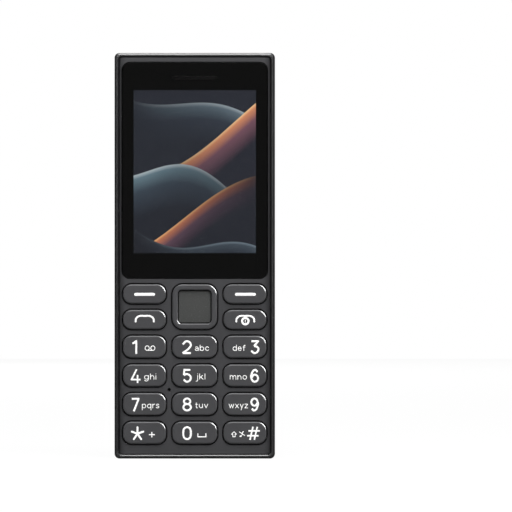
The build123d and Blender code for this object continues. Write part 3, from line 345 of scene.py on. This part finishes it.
nodeFinishes = {
    "front_housing": "sprayedAbs", "rear_cover": "sparkedPolycarbonate",
    "nav_ring": "satinPolycarbonate", "select_key": "shadedSatinSelect",
    "lens_mask": "glossBlackPrint", "lens_tape": "foamTape", "earpiece_grille": "blackenedMesh",
    "lcd_tray": "rolledSteel", "lcd_ribbon": "amberPolyimide", "receiver": "nickelCapsule",
    "keypad_mat": "milkySilicone", "nav_pad": "greySilicone", "metal_domes": "springSteel",
    "main_board": "greenSolderResist", "microphone": "goldPlate", "keypad_leds": "ivoryResin",
    "shield_cans": "tinnedSteel", "sim_holder_1": "stampedStainless",
    "sim_holder_2": "stampedStainless", "memory_card_holder": "stampedStainless",
    "chassis": "blackNylon", "antenna_film": "blackCoverlay", "chassis_screws": "blackZinc",
    "battery_cell": "wrappedCan", "battery_cap": "blackCap", "battery_pads": "goldPlate",
    "battery_contacts": "socketPlastic", "headset_jack": "socketPlastic",
    "usb_shell": "rolledSteel", "usb_tongue": "socketPlastic", "torch_lens": "clearLensPlastic",
    "torch_led": "phosphor", "loudspeaker": "blackCap", "speaker_mesh": "wovenMesh",
    "vibration_motor": "nickelCapsule",
}
for name in keyNames:
    nodeFinishes[name] = "satinPolycarbonate"
for name, finish in nodeFinishes.items():
    for slot in nodes[name].material_slots:
        slot.material = finishes[finish]


# Hard-coated acrylic window: clear, sharp gloss, a trace of waviness (length and depth in mm)
windowWave = {"length": 14, "depth": 0.004}


def makeWindowPlastic():
    material, tree = startMaterial("hardCoatedAcrylic")
    place = addNode(tree, "TexCoord")
    wave = addNode(tree, "TexNoise", {"Scale": 1 / (windowWave["length"] * mm), "Detail": 1.0},
                   {"Vector": place.outputs["Object"]})
    bump = addNode(tree, "Bump", {"Distance": windowWave["depth"] * mm},
                   {"Height": wave.outputs["Fac"]})
    endMaterial(tree, {"Base Color": (1, 1, 1, 1), "Roughness": 0.03, "IOR": 1.49,
                       "Transmission Weight": 1.0}, {"Normal": bump.outputs["Normal"]})
    return material


nodes["display_lens"].material_slots[0].material = makeWindowPlastic()

# Lit display: a calm picture of layered dunes at dusk, drawn by height lines
duneLayers = [
    # Height, slope, swell, wave length and shift of the crest line in mm, how far below it the
    # colours reach, the side to which they brighten, and the colours from the rim downwards
    {"level": 19.0, "slope": -0.34, "wave": 4.0, "length": 60, "shift": 4, "reach": 12, "side": 1,
     "colors": ("#9aa6ac", "#566670", "#2b333e", "#1a1e27")},
    {"level": 9.0, "slope": 0.50, "wave": 4.5, "length": 70, "shift": -12, "reach": 11, "side": 1,
     "colors": ("#f2c890", "#d0875f", "#6f4a57", "#1c1f29")},
    {"level": -4.0, "slope": -0.30, "wave": 5.5, "length": 54, "shift": 14, "reach": 13, "side": -1,
     "colors": ("#aab6bb", "#5c737d", "#323d48", "#181c25")},
    {"level": -12.5, "slope": 0.42, "wave": 4.0, "length": 66, "shift": 3, "reach": 9, "side": -1,
     "colors": ("#f0b878", "#bd7250", "#5c4150", "#191c25")},
    {"level": -21.0, "slope": -0.22, "wave": 3.0, "length": 46, "shift": -4, "reach": 8, "side": 1,
     "colors": ("#6d7c86", "#3c4751", "#222832", "#14171f")},
]
rimStops = (0.0, 0.10, 0.42, 1.0)
screen = {"middleZ": 85.865, "light": 1.0, "skyTop": "#1c1f28", "skyLow": "#232935",
          "skyFrom": -6.0, "skyTo": 26.0, "crestFrom": -0.05, "crestTo": 0.1,
          "sideFrom": -20.0, "sideTo": 14.0}


def makeDisplay():
    material, tree = startMaterial("litDisplay")
    place = addNode(tree, "TexCoord")
    spot = addNode(tree, "SeparateXYZ", None, {"Vector": place.outputs["Object"]})
    across = addNode(tree, "Math", {"operation": "MULTIPLY", 1: 1 / mm}, {0: spot.outputs["X"]})
    up = addNode(tree, "Math", {"operation": "MULTIPLY_ADD", 1: 1 / mm, 2: -screen["middleZ"]},
                 {0: spot.outputs["Z"]})
    sky = addNode(tree, "MapRange", {"From Min": screen["skyFrom"], "From Max": screen["skyTo"]},
                  {"Value": up.outputs[0]})
    picture = addNode(tree, "Mix", {"data_type": "RGBA", 6: toLinear(screen["skyLow"]),
                                    7: toLinear(screen["skyTop"])}, {0: sky.outputs[0]}).outputs[2]
    for layer in duneLayers:
        phase = addNode(tree, "Math", {"operation": "MULTIPLY_ADD",
                                       1: 2 * math.pi / layer["length"],
                                       2: 2 * math.pi * layer["shift"] / layer["length"]},
                        {0: across.outputs[0]})
        swell = addNode(tree, "Math", {"operation": "SINE"}, {0: phase.outputs[0]})
        line = addNode(tree, "Math", {"operation": "MULTIPLY_ADD", 1: layer["wave"],
                                      2: layer["level"]}, {0: swell.outputs[0]})
        tilted = addNode(tree, "Math", {"operation": "MULTIPLY_ADD", 1: layer["slope"]},
                         {0: across.outputs[0], 2: line.outputs[0]})
        below = addNode(tree, "Math", {"operation": "SUBTRACT"},
                        {0: tilted.outputs[0], 1: up.outputs[0]})
        cover = addNode(tree, "MapRange", {"From Min": screen["crestFrom"],
                                           "From Max": screen["crestTo"]},
                        {"Value": below.outputs[0]})
        depth = addNode(tree, "MapRange", {"From Max": layer["reach"]}, {"Value": below.outputs[0]})
        glow = addNode(tree, "ValToRGB", None, {"Fac": depth.outputs[0]})
        stops = glow.color_ramp.elements
        for _ in rimStops[2:]:
            stops.new(0.5)
        for stop, at, color in zip(stops, rimStops, layer["colors"]):
            stop.position = at
            stop.color = toLinear(color)
        side = addNode(tree, "MapRange", {"From Min": screen["sideFrom"] * layer["side"],
                                          "From Max": screen["sideTo"] * layer["side"]},
                       {"Value": across.outputs[0]})
        tint = addNode(tree, "Mix", {"data_type": "RGBA", 6: toLinear(layer["colors"][-1])},
                       {0: side.outputs[0], 7: glow.outputs["Color"]})
        picture = addNode(tree, "Mix", {"data_type": "RGBA"}, {0: cover.outputs[0], 6: picture,
                                                               7: tint.outputs[2]}).outputs[2]
    endMaterial(tree, {"Base Color": (0.01, 0.01, 0.012, 1), "Roughness": 0.3,
                       "Specular IOR Level": 0.0, "Emission Strength": screen["light"]},
                {"Emission Color": picture})
    return material


nodes["lcd_panel"].material_slots[0].material = makeDisplay()
print("CAD nodes finished")


# Pieces made here
def finishPiece(bm, name, material, body, slotName, smooth=True):
    mesh = bpy.data.meshes.new(name)
    bm.to_mesh(mesh)
    bm.free()
    for polygon in mesh.polygons:
        polygon.use_smooth = smooth
    mesh.materials.append(material)
    piece = bpy.data.objects.new(name, mesh)
    bpy.context.scene.collection.objects.link(piece)
    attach(piece, body)
    return piece


# Select key: the CAD cap a hair narrower, so that the ring's corners clear it when the ring tips
# both ways at once
selectCap = {"room": 0.07, "weld": 0.001, "sharp": 30, "cards": ("sparkCard", "capCard")}
low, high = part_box("select_key")
middle = (low + high) / 2
slim = 1 - 2 * selectCap["room"] * mm / (high.x - low.x)
bm = bmesh.new()
bm.from_mesh(nodes["select_key"].data)
bmesh.ops.remove_doubles(bm, verts=bm.verts, dist=selectCap["weld"] * mm)
bmesh.ops.scale(bm, vec=(slim, 1, slim), space=Matrix.Translation(-middle), verts=bm.verts)
for edge in bm.edges:
    edge.smooth = edge.calc_face_angle(0) < math.radians(selectCap["sharp"])
piece = finishPiece(bm, "select_cap", finishes["shadedSatinSelect"], "select_key", "keycaps")
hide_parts("select_key")
for card in selectCap["cards"]:
    bpy.data.collections[card].objects.link(piece)

# Legends: white ink moulded through the caps. Each line of a sign is points in a unit box:
# plain is straight runs, ~ a smooth open line, @ a smooth closed one.
signs = {
    "0": ["@.5,1 .9,.87 1,.66 1,.34 .9,.13 .5,0 .1,.13 0,.34 0,.66 .1,.87"],
    "1": ["0,.8 1,1.01 1,-.06"],
    "2": ["~0,.74 .5,1 1,.73 .8,.44 0,0", "0,0 1,0"],
    "3": [".04,1 .95,1 .42,.6", "~.42,.6 .82,.52 1,.3 .5,0 0,.2"],
    "4": [".6,1.04 0,.2 1.04,.2", ".7,.58 .7,-.07"],
    "5": [".92,1 .1,1 .05,.56", "~.05,.56 .5,.65 1,.32 .5,0 0,.18"],
    "6": ["~.93,.84 .55,1 .03,.62 0,.32 .5,0 1,.31 .52,.6 .02,.36"],
    "7": ["0,.98 1,.98 .3,-.07"],
    "8": ["@.5,1 .93,.77 .5,.54 .07,.77", "@.5,.54 1,.27 .5,0 0,.27"],
    "9": ["~.07,.16 .45,0 .97,.38 1,.68 .5,1 0,.69 .48,.4 .98,.64"],
    "star": [".5,.45 .5,1", ".5,.45 1,.63", ".5,.45 0,.63", ".5,.45 .82,0", ".5,.45 .18,0"],
    "hash": [".1,.68 1,.68", "0,.31 .9,.31", ".46,1 .22,0", ".8,1 .56,0"],
    "voicemail": ["@.21,1 .42,.5 .21,0 0,.5", "@.79,1 1,.5 .79,0 .58,.5", ".21,0 .79,0"],
    "plus": ["0,.5 1,.5", ".5,0 .5,1"],
    "space": ["0,1 0,0 1,0 1,1"],
    "shift": [".5,1 0,.5 .27,.5 .27,0 .73,0 .73,.5 1,.5 .5,1"],
    "quietNote": [".6,.92 .5,.3", "~.6,.95 .7,.98 .78,.84", "~.08,.1 .28,.22 .5,.16",
                  ".08,.02 .42,.04", "0,.95 1,.22"],
    "bar": ["0,.5 1,.5"],
    "upright": [".5,0 .5,1"],
    "arch": ["~0,0 .03,.55 .2,.97 .5,1 .8,.97 .97,.55 1,0"],
    "ring": ["@.5,1 1,.5 .5,0 0,.5"],
}
# Small letters: how wide each is, then its lines; the baseline is 0 and the x-height 1
letters = {
    "a": (0.8, "~.08,.86 .42,1 .8,.66|.8,.68 .8,0|~.8,.56 .3,.54 .02,.27 .32,0 .8,.24"),
    "b": (0.9, "0,1.42 0,0|@.45,1 .9,.5 .45,0 .02,.5"), "c": (0.8, "~.8,.8 .45,1 0,.5 .45,0 .8,.2"),
    "d": (0.9, ".9,1.42 .9,0|@.45,1 .88,.5 .45,0 0,.5"),
    "e": (0.88, "0,.52 .88,.52|~.88,.52 .45,1 0,.5 .45,0 .82,.2"),
    "f": (0.5, "~.55,1.4 .28,1.34 .2,1.05|.2,1.05 .2,0|0,.92 .5,.92"),
    "g": (0.9, "@.45,1 .88,.5 .45,0 0,.5|.9,1 .9,-.1|~.9,-.1 .45,-.5 .05,-.3"),
    "h": (0.8, "0,1.42 0,0|~0,.6 .42,1 .8,.6|.8,.6 .8,0"), "i": (0.0, "0,.95 0,0|0,1.4 0,1.42"),
    "j": (0.25, ".25,.95 .25,-.2|~.25,-.2 .14,-.48 -.1,-.5|.25,1.4 .25,1.42"),
    "k": (0.75, "0,1.42 0,0|.68,1 0,.42|.24,.62 .75,0"), "l": (0.0, "0,1.42 0,0"),
    "m": (1.4, "0,1 0,0|~0,.6 .36,1 .7,.6|.7,.6 .7,0|~.7,.6 1.06,1 1.4,.6|1.4,.6 1.4,0"),
    "n": (0.8, "0,1 0,0|~0,.6 .42,1 .8,.6|.8,.6 .8,0"), "o": (0.9, "@.45,1 .9,.5 .45,0 0,.5"),
    "p": (0.9, "0,1 0,-.52|@.45,1 .9,.5 .45,0 .02,.5"),
    "q": (0.9, ".9,1 .9,-.52|@.45,1 .88,.5 .45,0 0,.5"), "r": (0.45, "0,1 0,0|~0,.6 .2,.93 .5,1"),
    "s": (0.7, "~.68,.84 .36,1 .04,.76 .36,.52 .7,.26 .36,0 0,.16"),
    "t": (0.5, ".2,1.32 .2,.25|~.2,.25 .3,0 .52,.03|0,.95 .5,.95"),
    "u": (0.8, "0,1 0,.4|~0,.4 .38,0 .8,.4|.8,1 .8,0"), "v": (0.85, "0,1 .42,0 .85,1"),
    "w": (1.3, "0,1 .34,0 .65,.92 .96,0 1.3,1"), "x": (0.8, "0,1 .8,0|.8,1 0,0"),
    "y": (0.85, "0,1 .44,.05|.85,1 .27,-.52"), "z": (0.75, "0,1 .75,1 0,0 .75,0"),
}
legend = {"ink": 0.58, "thinInk": 0.3, "proud": 0.03, "digitLow": -2.2, "digitHigh": 1.93,
          "letterLow": -1.22, "letterHeight": 1.32, "letterInk": 0.195, "letterGap": 0.44}
stroke = {"bevelSteps": 2, "curveSteps": 6, "dotAround": 12, "dotUp": 8}


# One line as round tubes; place turns its points into millimetres
def drawLine(bm, line, place, ink, roundEnds):
    closed, smooth = line[0] == "@", line[0] in "~@"
    points = [tuple(float(v) for v in pair.split(",")) for pair in line.lstrip("~@").split()]
    places = [place(x, z) for x, z in points]
    runs = [places] if smooth else list(zip(places, places[1:]))
    curve = bpy.data.curves.new("stroke", "CURVE")
    curve.dimensions = "3D"
    curve.bevel_depth = ink / 2
    curve.bevel_resolution = stroke["bevelSteps"]
    curve.resolution_u = stroke["curveSteps"]
    curve.use_fill_caps = True
    for run in runs:
        spline = curve.splines.new("BEZIER")
        spline.bezier_points.add(len(run) - 1)
        spline.use_cyclic_u = closed
        for point, (x, z) in zip(spline.bezier_points, run):
            point.co = (x, 0, z)
            point.handle_left_type = point.handle_right_type = "AUTO" if smooth else "VECTOR"
    strokeObject = bpy.data.objects.new("stroke", curve)
    mesh = bpy.data.meshes.new_from_object(strokeObject)
    bm.from_mesh(mesh)
    bpy.data.objects.remove(strokeObject)
    bpy.data.curves.remove(curve)
    bpy.data.meshes.remove(mesh)
    dots = [] if smooth else places[1:-1]
    if roundEnds and not closed:
        dots += [places[0], places[-1]]
    for x, z in dots:
        bmesh.ops.create_uvsphere(bm, u_segments=stroke["dotAround"], v_segments=stroke["dotUp"],
                                  radius=ink / 2, matrix=Matrix.Translation((x, 0, z)))


# One sign in a box of (left, right, low, high) in mm, outer edges of the ink
def drawSign(bm, sign, box, ink, roundEnds=False):
    left, right, low, high = box
    for line in signs[sign]:
        drawLine(bm, line, lambda x, z: (left + ink / 2 + x * (right - left - ink),
                                         low + ink / 2 + z * (high - low - ink)), ink, roundEnds)


# A word spread evenly between left and right
def drawWord(bm, word, left, right, low):
    ink = legend["letterInk"]
    wide = sum(letters[c][0] for c in word) + legend["letterGap"] * (len(word) - 1)
    scale = (right - left - ink) / wide
    tall = legend["letterHeight"] - ink
    start = left + ink / 2
    for letter in word:
        width, lines = letters[letter]
        for line in lines.split("|"):
            drawLine(bm, line, lambda x, z: (start + x * scale, low + ink / 2 + z * tall),
                     ink, True)
        start += (width + legend["letterGap"]) * scale


# What each cap carries: signs as (sign, left, right, low, high, ink), letters as (text, left,
# right). The edges are millimetres across the phone; heights are from the middle of the cap.
digitBox = (legend["digitLow"], legend["digitHigh"], legend["ink"])
thin = legend["thinInk"]
capLegends = {
    "key_1": {"signs": [("1", -18.86, -17.18, *digitBox),
                        ("voicemail", -14.94, -11.78, -1.18, 0.38, 0.23)]},
    "key_2": {"signs": [("2", -3.86, -0.86, *digitBox)], "letters": ("abc", 0.04, 4.28)},
    "key_3": {"signs": [("3", 16.6, 19.35, *digitBox)], "letters": ("def", 11.38, 15.12)},
    "key_4": {"signs": [("4", -19.14, -16.06, -2.24, 1.96, 0.5)], "letters": ("ghi", -15.1, -11.5)},
    "key_5": {"signs": [("5", -3.62, -0.86, *digitBox)], "letters": ("jkl", 0.46, 3.16)},
    "key_6": {"signs": [("6", 16.62, 19.22, *digitBox)], "letters": ("mno", 10.5, 15.62)},
    "key_7": {"signs": [("7", -19.1, -16.48, *digitBox)], "letters": ("pqrs", -15.78, -10.6)},
    "key_8": {"signs": [("8", -3.68, -0.86, *digitBox)], "letters": ("tuv", 0.14, 4.02)},
    "key_9": {"signs": [("9", 16.64, 19.16, *digitBox)], "letters": ("wxyz", 10.18, 15.95)},
    "key_star": {"signs": [("star", -19.1, -15.12, *digitBox),
                           ("plus", -13.72, -11.9, -1.42, 0.3, thin)]},
    "key_0": {"signs": [("0", -3.68, -0.9, *digitBox), ("space", 0.8, 3.5, -1.35, 0.0, thin)]},
    "key_hash": {"signs": [("hash", 15.44, 19.72, -2.36, 2.06, 0.48),
                           ("shift", 10.88, 12.62, -1.3, 0.42, 0.22),
                           ("quietNote", 13.2, 15.1, -1.3, 0.5, 0.22)]},
    "soft_key_left": {"signs": [("bar", -18.12, -11.86, -0.58, 0.3, 0.88)]},
    "soft_key_right": {"signs": [("bar", 12.02, 18.3, -0.58, 0.3, 0.88)]},
    "call_key": {"signs": [("arch", -17.94, -11.94, -0.9, 1.32, 0.54)]},
    "end_key": {"signs": [("arch", 12.16, 18.1, -0.9, 1.32, 0.54),
                          ("ring", 13.86, 16.4, -1.76, 0.78, 0.62),
                          ("upright", 15.01, 15.25, -0.95, -0.03, 0.24)]},
}

# White thermoplastic moulded through the cap: bright, slightly glowing from the key lamps behind it
inkMaterial = makeFinish("whiteMouldedInk", "#f6f6f4", 0.35, grain=0.4, depth=0.001, tone=0.01,
                         **{"Emission Color": (1, 1, 1, 1), "Emission Strength": 0.16})
for name, marks in capLegends.items():
    low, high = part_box(name)
    middle = (low.z + high.z) / 2 / mm
    bm = bmesh.new()
    for sign, left, right, bottom, top, ink in marks["signs"]:
        drawSign(bm, sign, (left, right, middle + bottom, middle + top), ink,
                 roundEnds=sign in ("bar", "arch", "star", "plus", "upright"))
    if "letters" in marks:
        drawWord(bm, *marks["letters"], middle + legend["letterLow"])
    bmesh.ops.scale(bm, vec=(1, 2 * legend["proud"] / legend["ink"], 1), verts=bm.verts)
    bmesh.ops.scale(bm, vec=(mm, mm, mm), verts=bm.verts)
    bmesh.ops.translate(bm, vec=(0, low.y, 0), verts=bm.verts)
    finishPiece(bm, "legend_" + name, inkMaterial, name, "keycaps")
print("legends drawn")

# Acoustic cloth glued behind the microphone's hole
cloth = {"radius": 1.1, "thickness": 0.12, "across": -7.65, "height": 20.62, "behind": -4.8}
bm = bmesh.new()
bmesh.ops.create_cone(bm, cap_ends=True, segments=32, radius1=cloth["radius"] * mm,
                      radius2=cloth["radius"] * mm, depth=cloth["thickness"] * mm)
bmesh.ops.rotate(bm, cent=(0, 0, 0), matrix=Matrix.Rotation(math.radians(90), 3, "X"),
                 verts=bm.verts)
bmesh.ops.translate(bm, vec=(cloth["across"] * mm, (cloth["behind"] + cloth["thickness"] / 2) * mm,
                             cloth["height"] * mm), verts=bm.verts)
finishPiece(bm, "microphone_cloth", finishes["wovenMesh"], "phone", "speaker_mesh", smooth=False)


# A plain box between two corners in mm
def addBox(bm, low, high):
    made = bmesh.ops.create_cube(bm, size=1.0)["verts"]
    low, high = Vector(low), Vector(high)
    bmesh.ops.scale(bm, vec=high - low, verts=made)
    bmesh.ops.translate(bm, vec=(low + high) / 2, verts=made)
    return list({e for v in made for e in v.link_edges})


# A box with all its edges cut, or rounded where there is more than one segment
def addBlock(bm, low, high, edge, segments=1):
    bmesh.ops.bevel(bm, geom=addBox(bm, low, high), offset=edge, segments=segments, profile=0.5,
                    material=-1, affect="EDGES")


# A plate whose four corners, seen along Y, are rounded
def addPlate(bm, low, high, corner):
    thick = high[1] - low[1]
    upright = [e for e in addBox(bm, low, high)
               if abs(e.verts[0].co.y - e.verts[1].co.y) > thick / 2]
    bmesh.ops.bevel(bm, geom=upright, offset=corner, segments=6, profile=0.5, material=-1,
                    affect="EDGES")


# A ring turned round an axis along Z through centre: profile points are (radius, height) in mm
def addRing(bm, centre, profile, segments=48):
    verts = [bm.verts.new((centre[0] + r, centre[1], centre[2] + h)) for r, h in profile]
    edges = [bm.edges.new((a, b)) for a, b in zip(verts, verts[1:] + verts[:1])]
    bmesh.ops.spin(bm, geom=verts + edges, cent=centre, axis=(0, 0, 1), angle=2 * math.pi,
                   steps=segments, use_merge=True)


weldDistance = 0.0005


# Joins what meets, turns the faces outwards and brings a piece drawn in millimetres to metres
def closePiece(bm, *piece, smooth=False):
    bmesh.ops.remove_doubles(bm, verts=bm.verts, dist=weldDistance)
    bmesh.ops.recalc_face_normals(bm, faces=bm.faces)
    bmesh.ops.scale(bm, vec=(mm, mm, mm), verts=bm.verts)
    finishPiece(bm, *piece, smooth=smooth)


# Charging socket: twelve gold contacts on each face of the tongue
usbContacts = {"count": 12, "pitch": 0.5, "width": 0.28, "low": 4.35, "high": 7.6, "thick": 0.02,
               "edge": 0.008}
low, high = (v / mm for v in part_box("usb_tongue"))
bm = bmesh.new()
for index in range(usbContacts["count"]):
    x = (index - (usbContacts["count"] - 1) / 2) * usbContacts["pitch"]
    for near in (low.y - usbContacts["thick"], high.y):
        addBlock(bm, (x - usbContacts["width"] / 2, near, usbContacts["low"]),
                 (x + usbContacts["width"] / 2, near + usbContacts["thick"], usbContacts["high"]),
                 usbContacts["edge"])
closePiece(bm, "usb_contacts", finishes["goldPlate"], "phone", "contacts")

# Headset socket: a nickel ring round its mouth
jackRing = {"centre": (12.0, 0.8, 119.85), "profile": ((1.82, -0.4), (1.82, 0.04), (1.9, 0.1),
                                                       (2.12, 0.1), (2.22, 0.03), (2.22, 0.0),
                                                       (2.0, 0.0), (2.0, -0.4))}
bm = bmesh.new()
addRing(bm, jackRing["centre"], jackRing["profile"])
closePiece(bm, "jack_ring", finishes["nickelCapsule"], "phone", "jack")

# Torch lens: fine ridges that spread the light
torchRidges = {"centre": (0.0, 0.7, 119.85), "radii": (0.45, 0.8, 1.15, 1.5), "half": 0.13,
               "sunk": 0.01, "rise": 0.07}
bm = bmesh.new()
for radius in torchRidges["radii"]:
    addRing(bm, torchRidges["centre"], ((radius - torchRidges["half"], -torchRidges["sunk"]),
                                        (radius, torchRidges["rise"]),
                                        (radius + torchRidges["half"], -torchRidges["sunk"])))
closePiece(bm, "torch_ridges", finishes["clearLensPlastic"], "phone", "torch_lens")

# Battery: film label on both broad faces
label = {"side": 15.4, "low": 35.6, "high": 82.6, "corner": 1.2, "thick": 0.05, "sunk": 0.01}
low, high = (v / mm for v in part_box("battery_cell"))
bm = bmesh.new()
for near, far in ((low.y - label["thick"], low.y + label["sunk"]),
                  (high.y - label["sunk"], high.y + label["thick"])):
    addPlate(bm, (-label["side"], near, label["low"]), (label["side"], far, label["high"]),
             label["corner"])
closePiece(bm, "battery_label", finishes["filmLabel"], "battery", "cell")

# The label's print: a frame, a line below its head, minus and plus marks, and rows of text as bars.
# Each printed bar is (left, right, low, high) in mm.
labelPrint = {"proud": 0.02, "edge": 0.005, "inset": 1.3, "line": 0.3, "head": 9.0,
              "marks": ((8.15, 9.45, 77.2, 77.5), (2.55, 3.85, 77.2, 77.5),
                        (3.05, 3.35, 76.7, 77.2), (3.05, 3.35, 77.5, 78.0)),
              "rows": (17.0, 21.0, 14.0, 19.0, 9.0), "rowLeft": -12.6, "rowLow": 66.0,
              "rowTall": 0.35, "rowPitch": 2.4}
side, line = label["side"] - labelPrint["inset"], labelPrint["line"]
bottom, top = label["low"] + labelPrint["inset"], label["high"] - labelPrint["inset"]
headLow = top - labelPrint["head"]
bars = [(-side, side, bottom, bottom + line), (-side, side, top - line, top),
        (-side, -side + line, bottom + line, top - line),
        (side - line, side, bottom + line, top - line),
        (-side + line, side - line, headLow, headLow + line), *labelPrint["marks"]]
for row, wide in enumerate(labelPrint["rows"]):
    z = labelPrint["rowLow"] - row * labelPrint["rowPitch"]
    bars.append((labelPrint["rowLeft"], labelPrint["rowLeft"] + wide, z, z + labelPrint["rowTall"]))
proud = label["thick"] + labelPrint["proud"]
bm = bmesh.new()
for near, far in ((low.y - proud, low.y), (high.y, high.y + proud)):
    for left, right, foot, head in bars:
        addBlock(bm, (left, near, foot), (right, far, head), labelPrint["edge"])
closePiece(bm, "battery_label_ink", finishes["labelInk"], "battery", "cell")

# The wrap's glued seam
seam = {"low": 34.0, "high": 83.9, "near": 1.9, "far": 3.5, "sunk": 0.02, "thick": 0.06,
        "edge": 0.02}
bm = bmesh.new()
addBlock(bm, (high.x - seam["sunk"], seam["near"], seam["low"]),
         (high.x + seam["thick"], seam["far"], seam["high"]), seam["edge"], 2)
closePiece(bm, "battery_seam", finishes["wrappedCan"], "battery", "cell")

# Gold springs that touch the battery's pads
blades = {"centres": (3.2, 6.0, 8.8), "half": 0.46, "near": 0.87, "far": 2.43, "proud": 0.02,
          "inside": 0.24, "edge": 0.09}
low, high = (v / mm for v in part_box("battery_contacts"))
bm = bmesh.new()
for x in blades["centres"]:
    addBlock(bm, (x - blades["half"], blades["near"], low.z - blades["proud"]),
             (x + blades["half"], blades["far"], low.z + blades["inside"]), blades["edge"], 3)
closePiece(bm, "contact_blades", finishes["goldPlate"], "phone", "contacts", smooth=True)

# Card holders: a window on the black base with its gold springs, and stamped ribs: one along each
# side, one across the upper end. Depths are (from, to) in mm along Y from the holder's back.
holderTrim = {"baseDepth": (-0.01, 0.02), "baseCorner": 0.5, "besideSprings": 0.5,
              "aboveRows": 0.6, "aboveSpring": 1.2, "springDepth": (0.01, 0.12),
              "springEdge": 0.05, "ribDepth": (-0.02, 0.1), "ribEdge": 0.08, "ribWide": 0.5,
              "ribInset": 0.9, "ribEnds": 1.6, "crossEnds": 2.2, "crossLow": 1.0, "crossHigh": 0.55}
holders = {
    "sim_holder_1": {"columns": 2, "rows": 3, "spring": (2.6, 1.25), "pitch": (4.4, 2.5)},
    "sim_holder_2": {"columns": 2, "rows": 3, "spring": (2.6, 1.25), "pitch": (4.4, 2.5)},
    "memory_card_holder": {"columns": 8, "rows": 1, "spring": (0.6, 3.4), "pitch": (1.05, 1.0)},
}
for name, holder in holders.items():
    low, high = (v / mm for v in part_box(name))
    middle = (low + high) / 2
    wide = holder["columns"] * holder["pitch"][0] + holderTrim["besideSprings"]
    tall = max(holder["rows"] * holder["pitch"][1] + holderTrim["aboveRows"],
               holder["spring"][1] + holderTrim["aboveSpring"])
    near, far = (high.y + depth for depth in holderTrim["baseDepth"])
    bm = bmesh.new()
    addPlate(bm, (middle.x - wide / 2, near, middle.z - tall / 2),
             (middle.x + wide / 2, far, middle.z + tall / 2), holderTrim["baseCorner"])
    closePiece(bm, name + "_base", finishes["socketPlastic"], "phone", "holders")
    near, far = (high.y + depth for depth in holderTrim["springDepth"])
    halfX, halfZ = holder["spring"][0] / 2, holder["spring"][1] / 2
    bm = bmesh.new()
    for column in range(holder["columns"]):
        for row in range(holder["rows"]):
            x = middle.x + (column - (holder["columns"] - 1) / 2) * holder["pitch"][0]
            z = middle.z + (row - (holder["rows"] - 1) / 2) * holder["pitch"][1]
            addBlock(bm, (x - halfX, near, z - halfZ), (x + halfX, far, z + halfZ),
                     holderTrim["springEdge"], 3)
    closePiece(bm, name + "_springs", finishes["goldPlate"], "phone", "contacts", smooth=True)
    near, far = (high.y + depth for depth in holderTrim["ribDepth"])
    bm = bmesh.new()
    for x in (low.x + holderTrim["ribInset"],
              high.x - holderTrim["ribInset"] - holderTrim["ribWide"]):
        addBlock(bm, (x, near, low.z + holderTrim["ribEnds"]),
                 (x + holderTrim["ribWide"], far, high.z - holderTrim["ribEnds"]),
                 holderTrim["ribEdge"], 3)
    addBlock(bm, (low.x + holderTrim["crossEnds"], near, high.z - holderTrim["crossLow"]),
             (high.x - holderTrim["crossEnds"], far, high.z - holderTrim["crossHigh"]),
             holderTrim["ribEdge"], 3)
    closePiece(bm, name + "_ribs", finishes["stampedStainless"], "phone", "holders", smooth=True)

# Antenna: copper tracks on the coverlay, two nested loops, open at their lower right, and two feeds
antenna = {"behind": 4.95, "sunk": 0.01, "thick": 0.03, "width": 1.1, "edge": 0.01,
           "loops": ((-14.6, 14.6, 15.2, 27.7), (-11.8, 4.6, 17.9, 25.2)),
           "openUp": 3.0, "openAcross": 4.0, "feeds": (7.2, 9.6), "feedWide": 1.5,
           "feedLow": 18.6, "feedHigh": 24.0, "feedCorner": 0.4}
near, far = antenna["behind"] - antenna["sunk"], antenna["behind"] + antenna["thick"]
wide = antenna["width"]
bm = bmesh.new()
for left, right, bottom, top in antenna["loops"]:
    for (x1, z1), (x2, z2) in (((left, bottom), (left + wide, top)),
                               ((left + wide, top - wide), (right, top)),
                               ((right - wide, bottom + antenna["openUp"]), (right, top - wide)),
                               ((left + wide, bottom),
                                (right - antenna["openAcross"], bottom + wide))):
        addBlock(bm, (x1, near, z1), (x2, far, z2), antenna["edge"])
for x in antenna["feeds"]:
    addPlate(bm, (x, near, antenna["feedLow"]), (x + antenna["feedWide"], far, antenna["feedHigh"]),
             antenna["feedCorner"])
closePiece(bm, "antenna_tracks", finishes["copperFilm"], "phone", "antenna")

# Chassis: ejector pin marks and stiffening ribs on the battery bay's floor
bayFloor = {"depth": -0.05, "pins": ((-13.0, 38.0), (13.0, 38.0), (-13.0, 47.0), (13.0, 47.0)),
            "pinProfile": ((1.1, -0.01), (1.1, 0.05), (1.25, 0.05), (1.25, -0.01)),
            "ribs": (-8.0, -4.0, 0.0, 4.0, 8.0), "ribHalf": 0.3, "ribLow": 36.0, "ribHigh": 49.0,
            "ribSunk": 0.01, "ribRise": 0.08, "ribEdge": 0.06}
bm = bmesh.new()
for x, z in bayFloor["pins"]:
    ring = bmesh.new()
    addRing(ring, (0, 0, 0), bayFloor["pinProfile"], 32)
    bmesh.ops.rotate(ring, cent=(0, 0, 0), matrix=Matrix.Rotation(math.radians(-90), 3, "X"),
                     verts=ring.verts)
    bmesh.ops.translate(ring, vec=(x, bayFloor["depth"], z), verts=ring.verts)
    loose = bpy.data.meshes.new("ring")
    ring.to_mesh(loose)
    ring.free()
    bm.from_mesh(loose)
    bpy.data.meshes.remove(loose)
for x in bayFloor["ribs"]:
    addBlock(bm, (x - bayFloor["ribHalf"], bayFloor["depth"] - bayFloor["ribSunk"],
                  bayFloor["ribLow"]),
             (x + bayFloor["ribHalf"], bayFloor["depth"] + bayFloor["ribRise"],
              bayFloor["ribHigh"]), bayFloor["ribEdge"], 3)
closePiece(bm, "bay_floor_ribs", finishes["blackNylon"], "phone", "chassis")
print("inner pieces made")
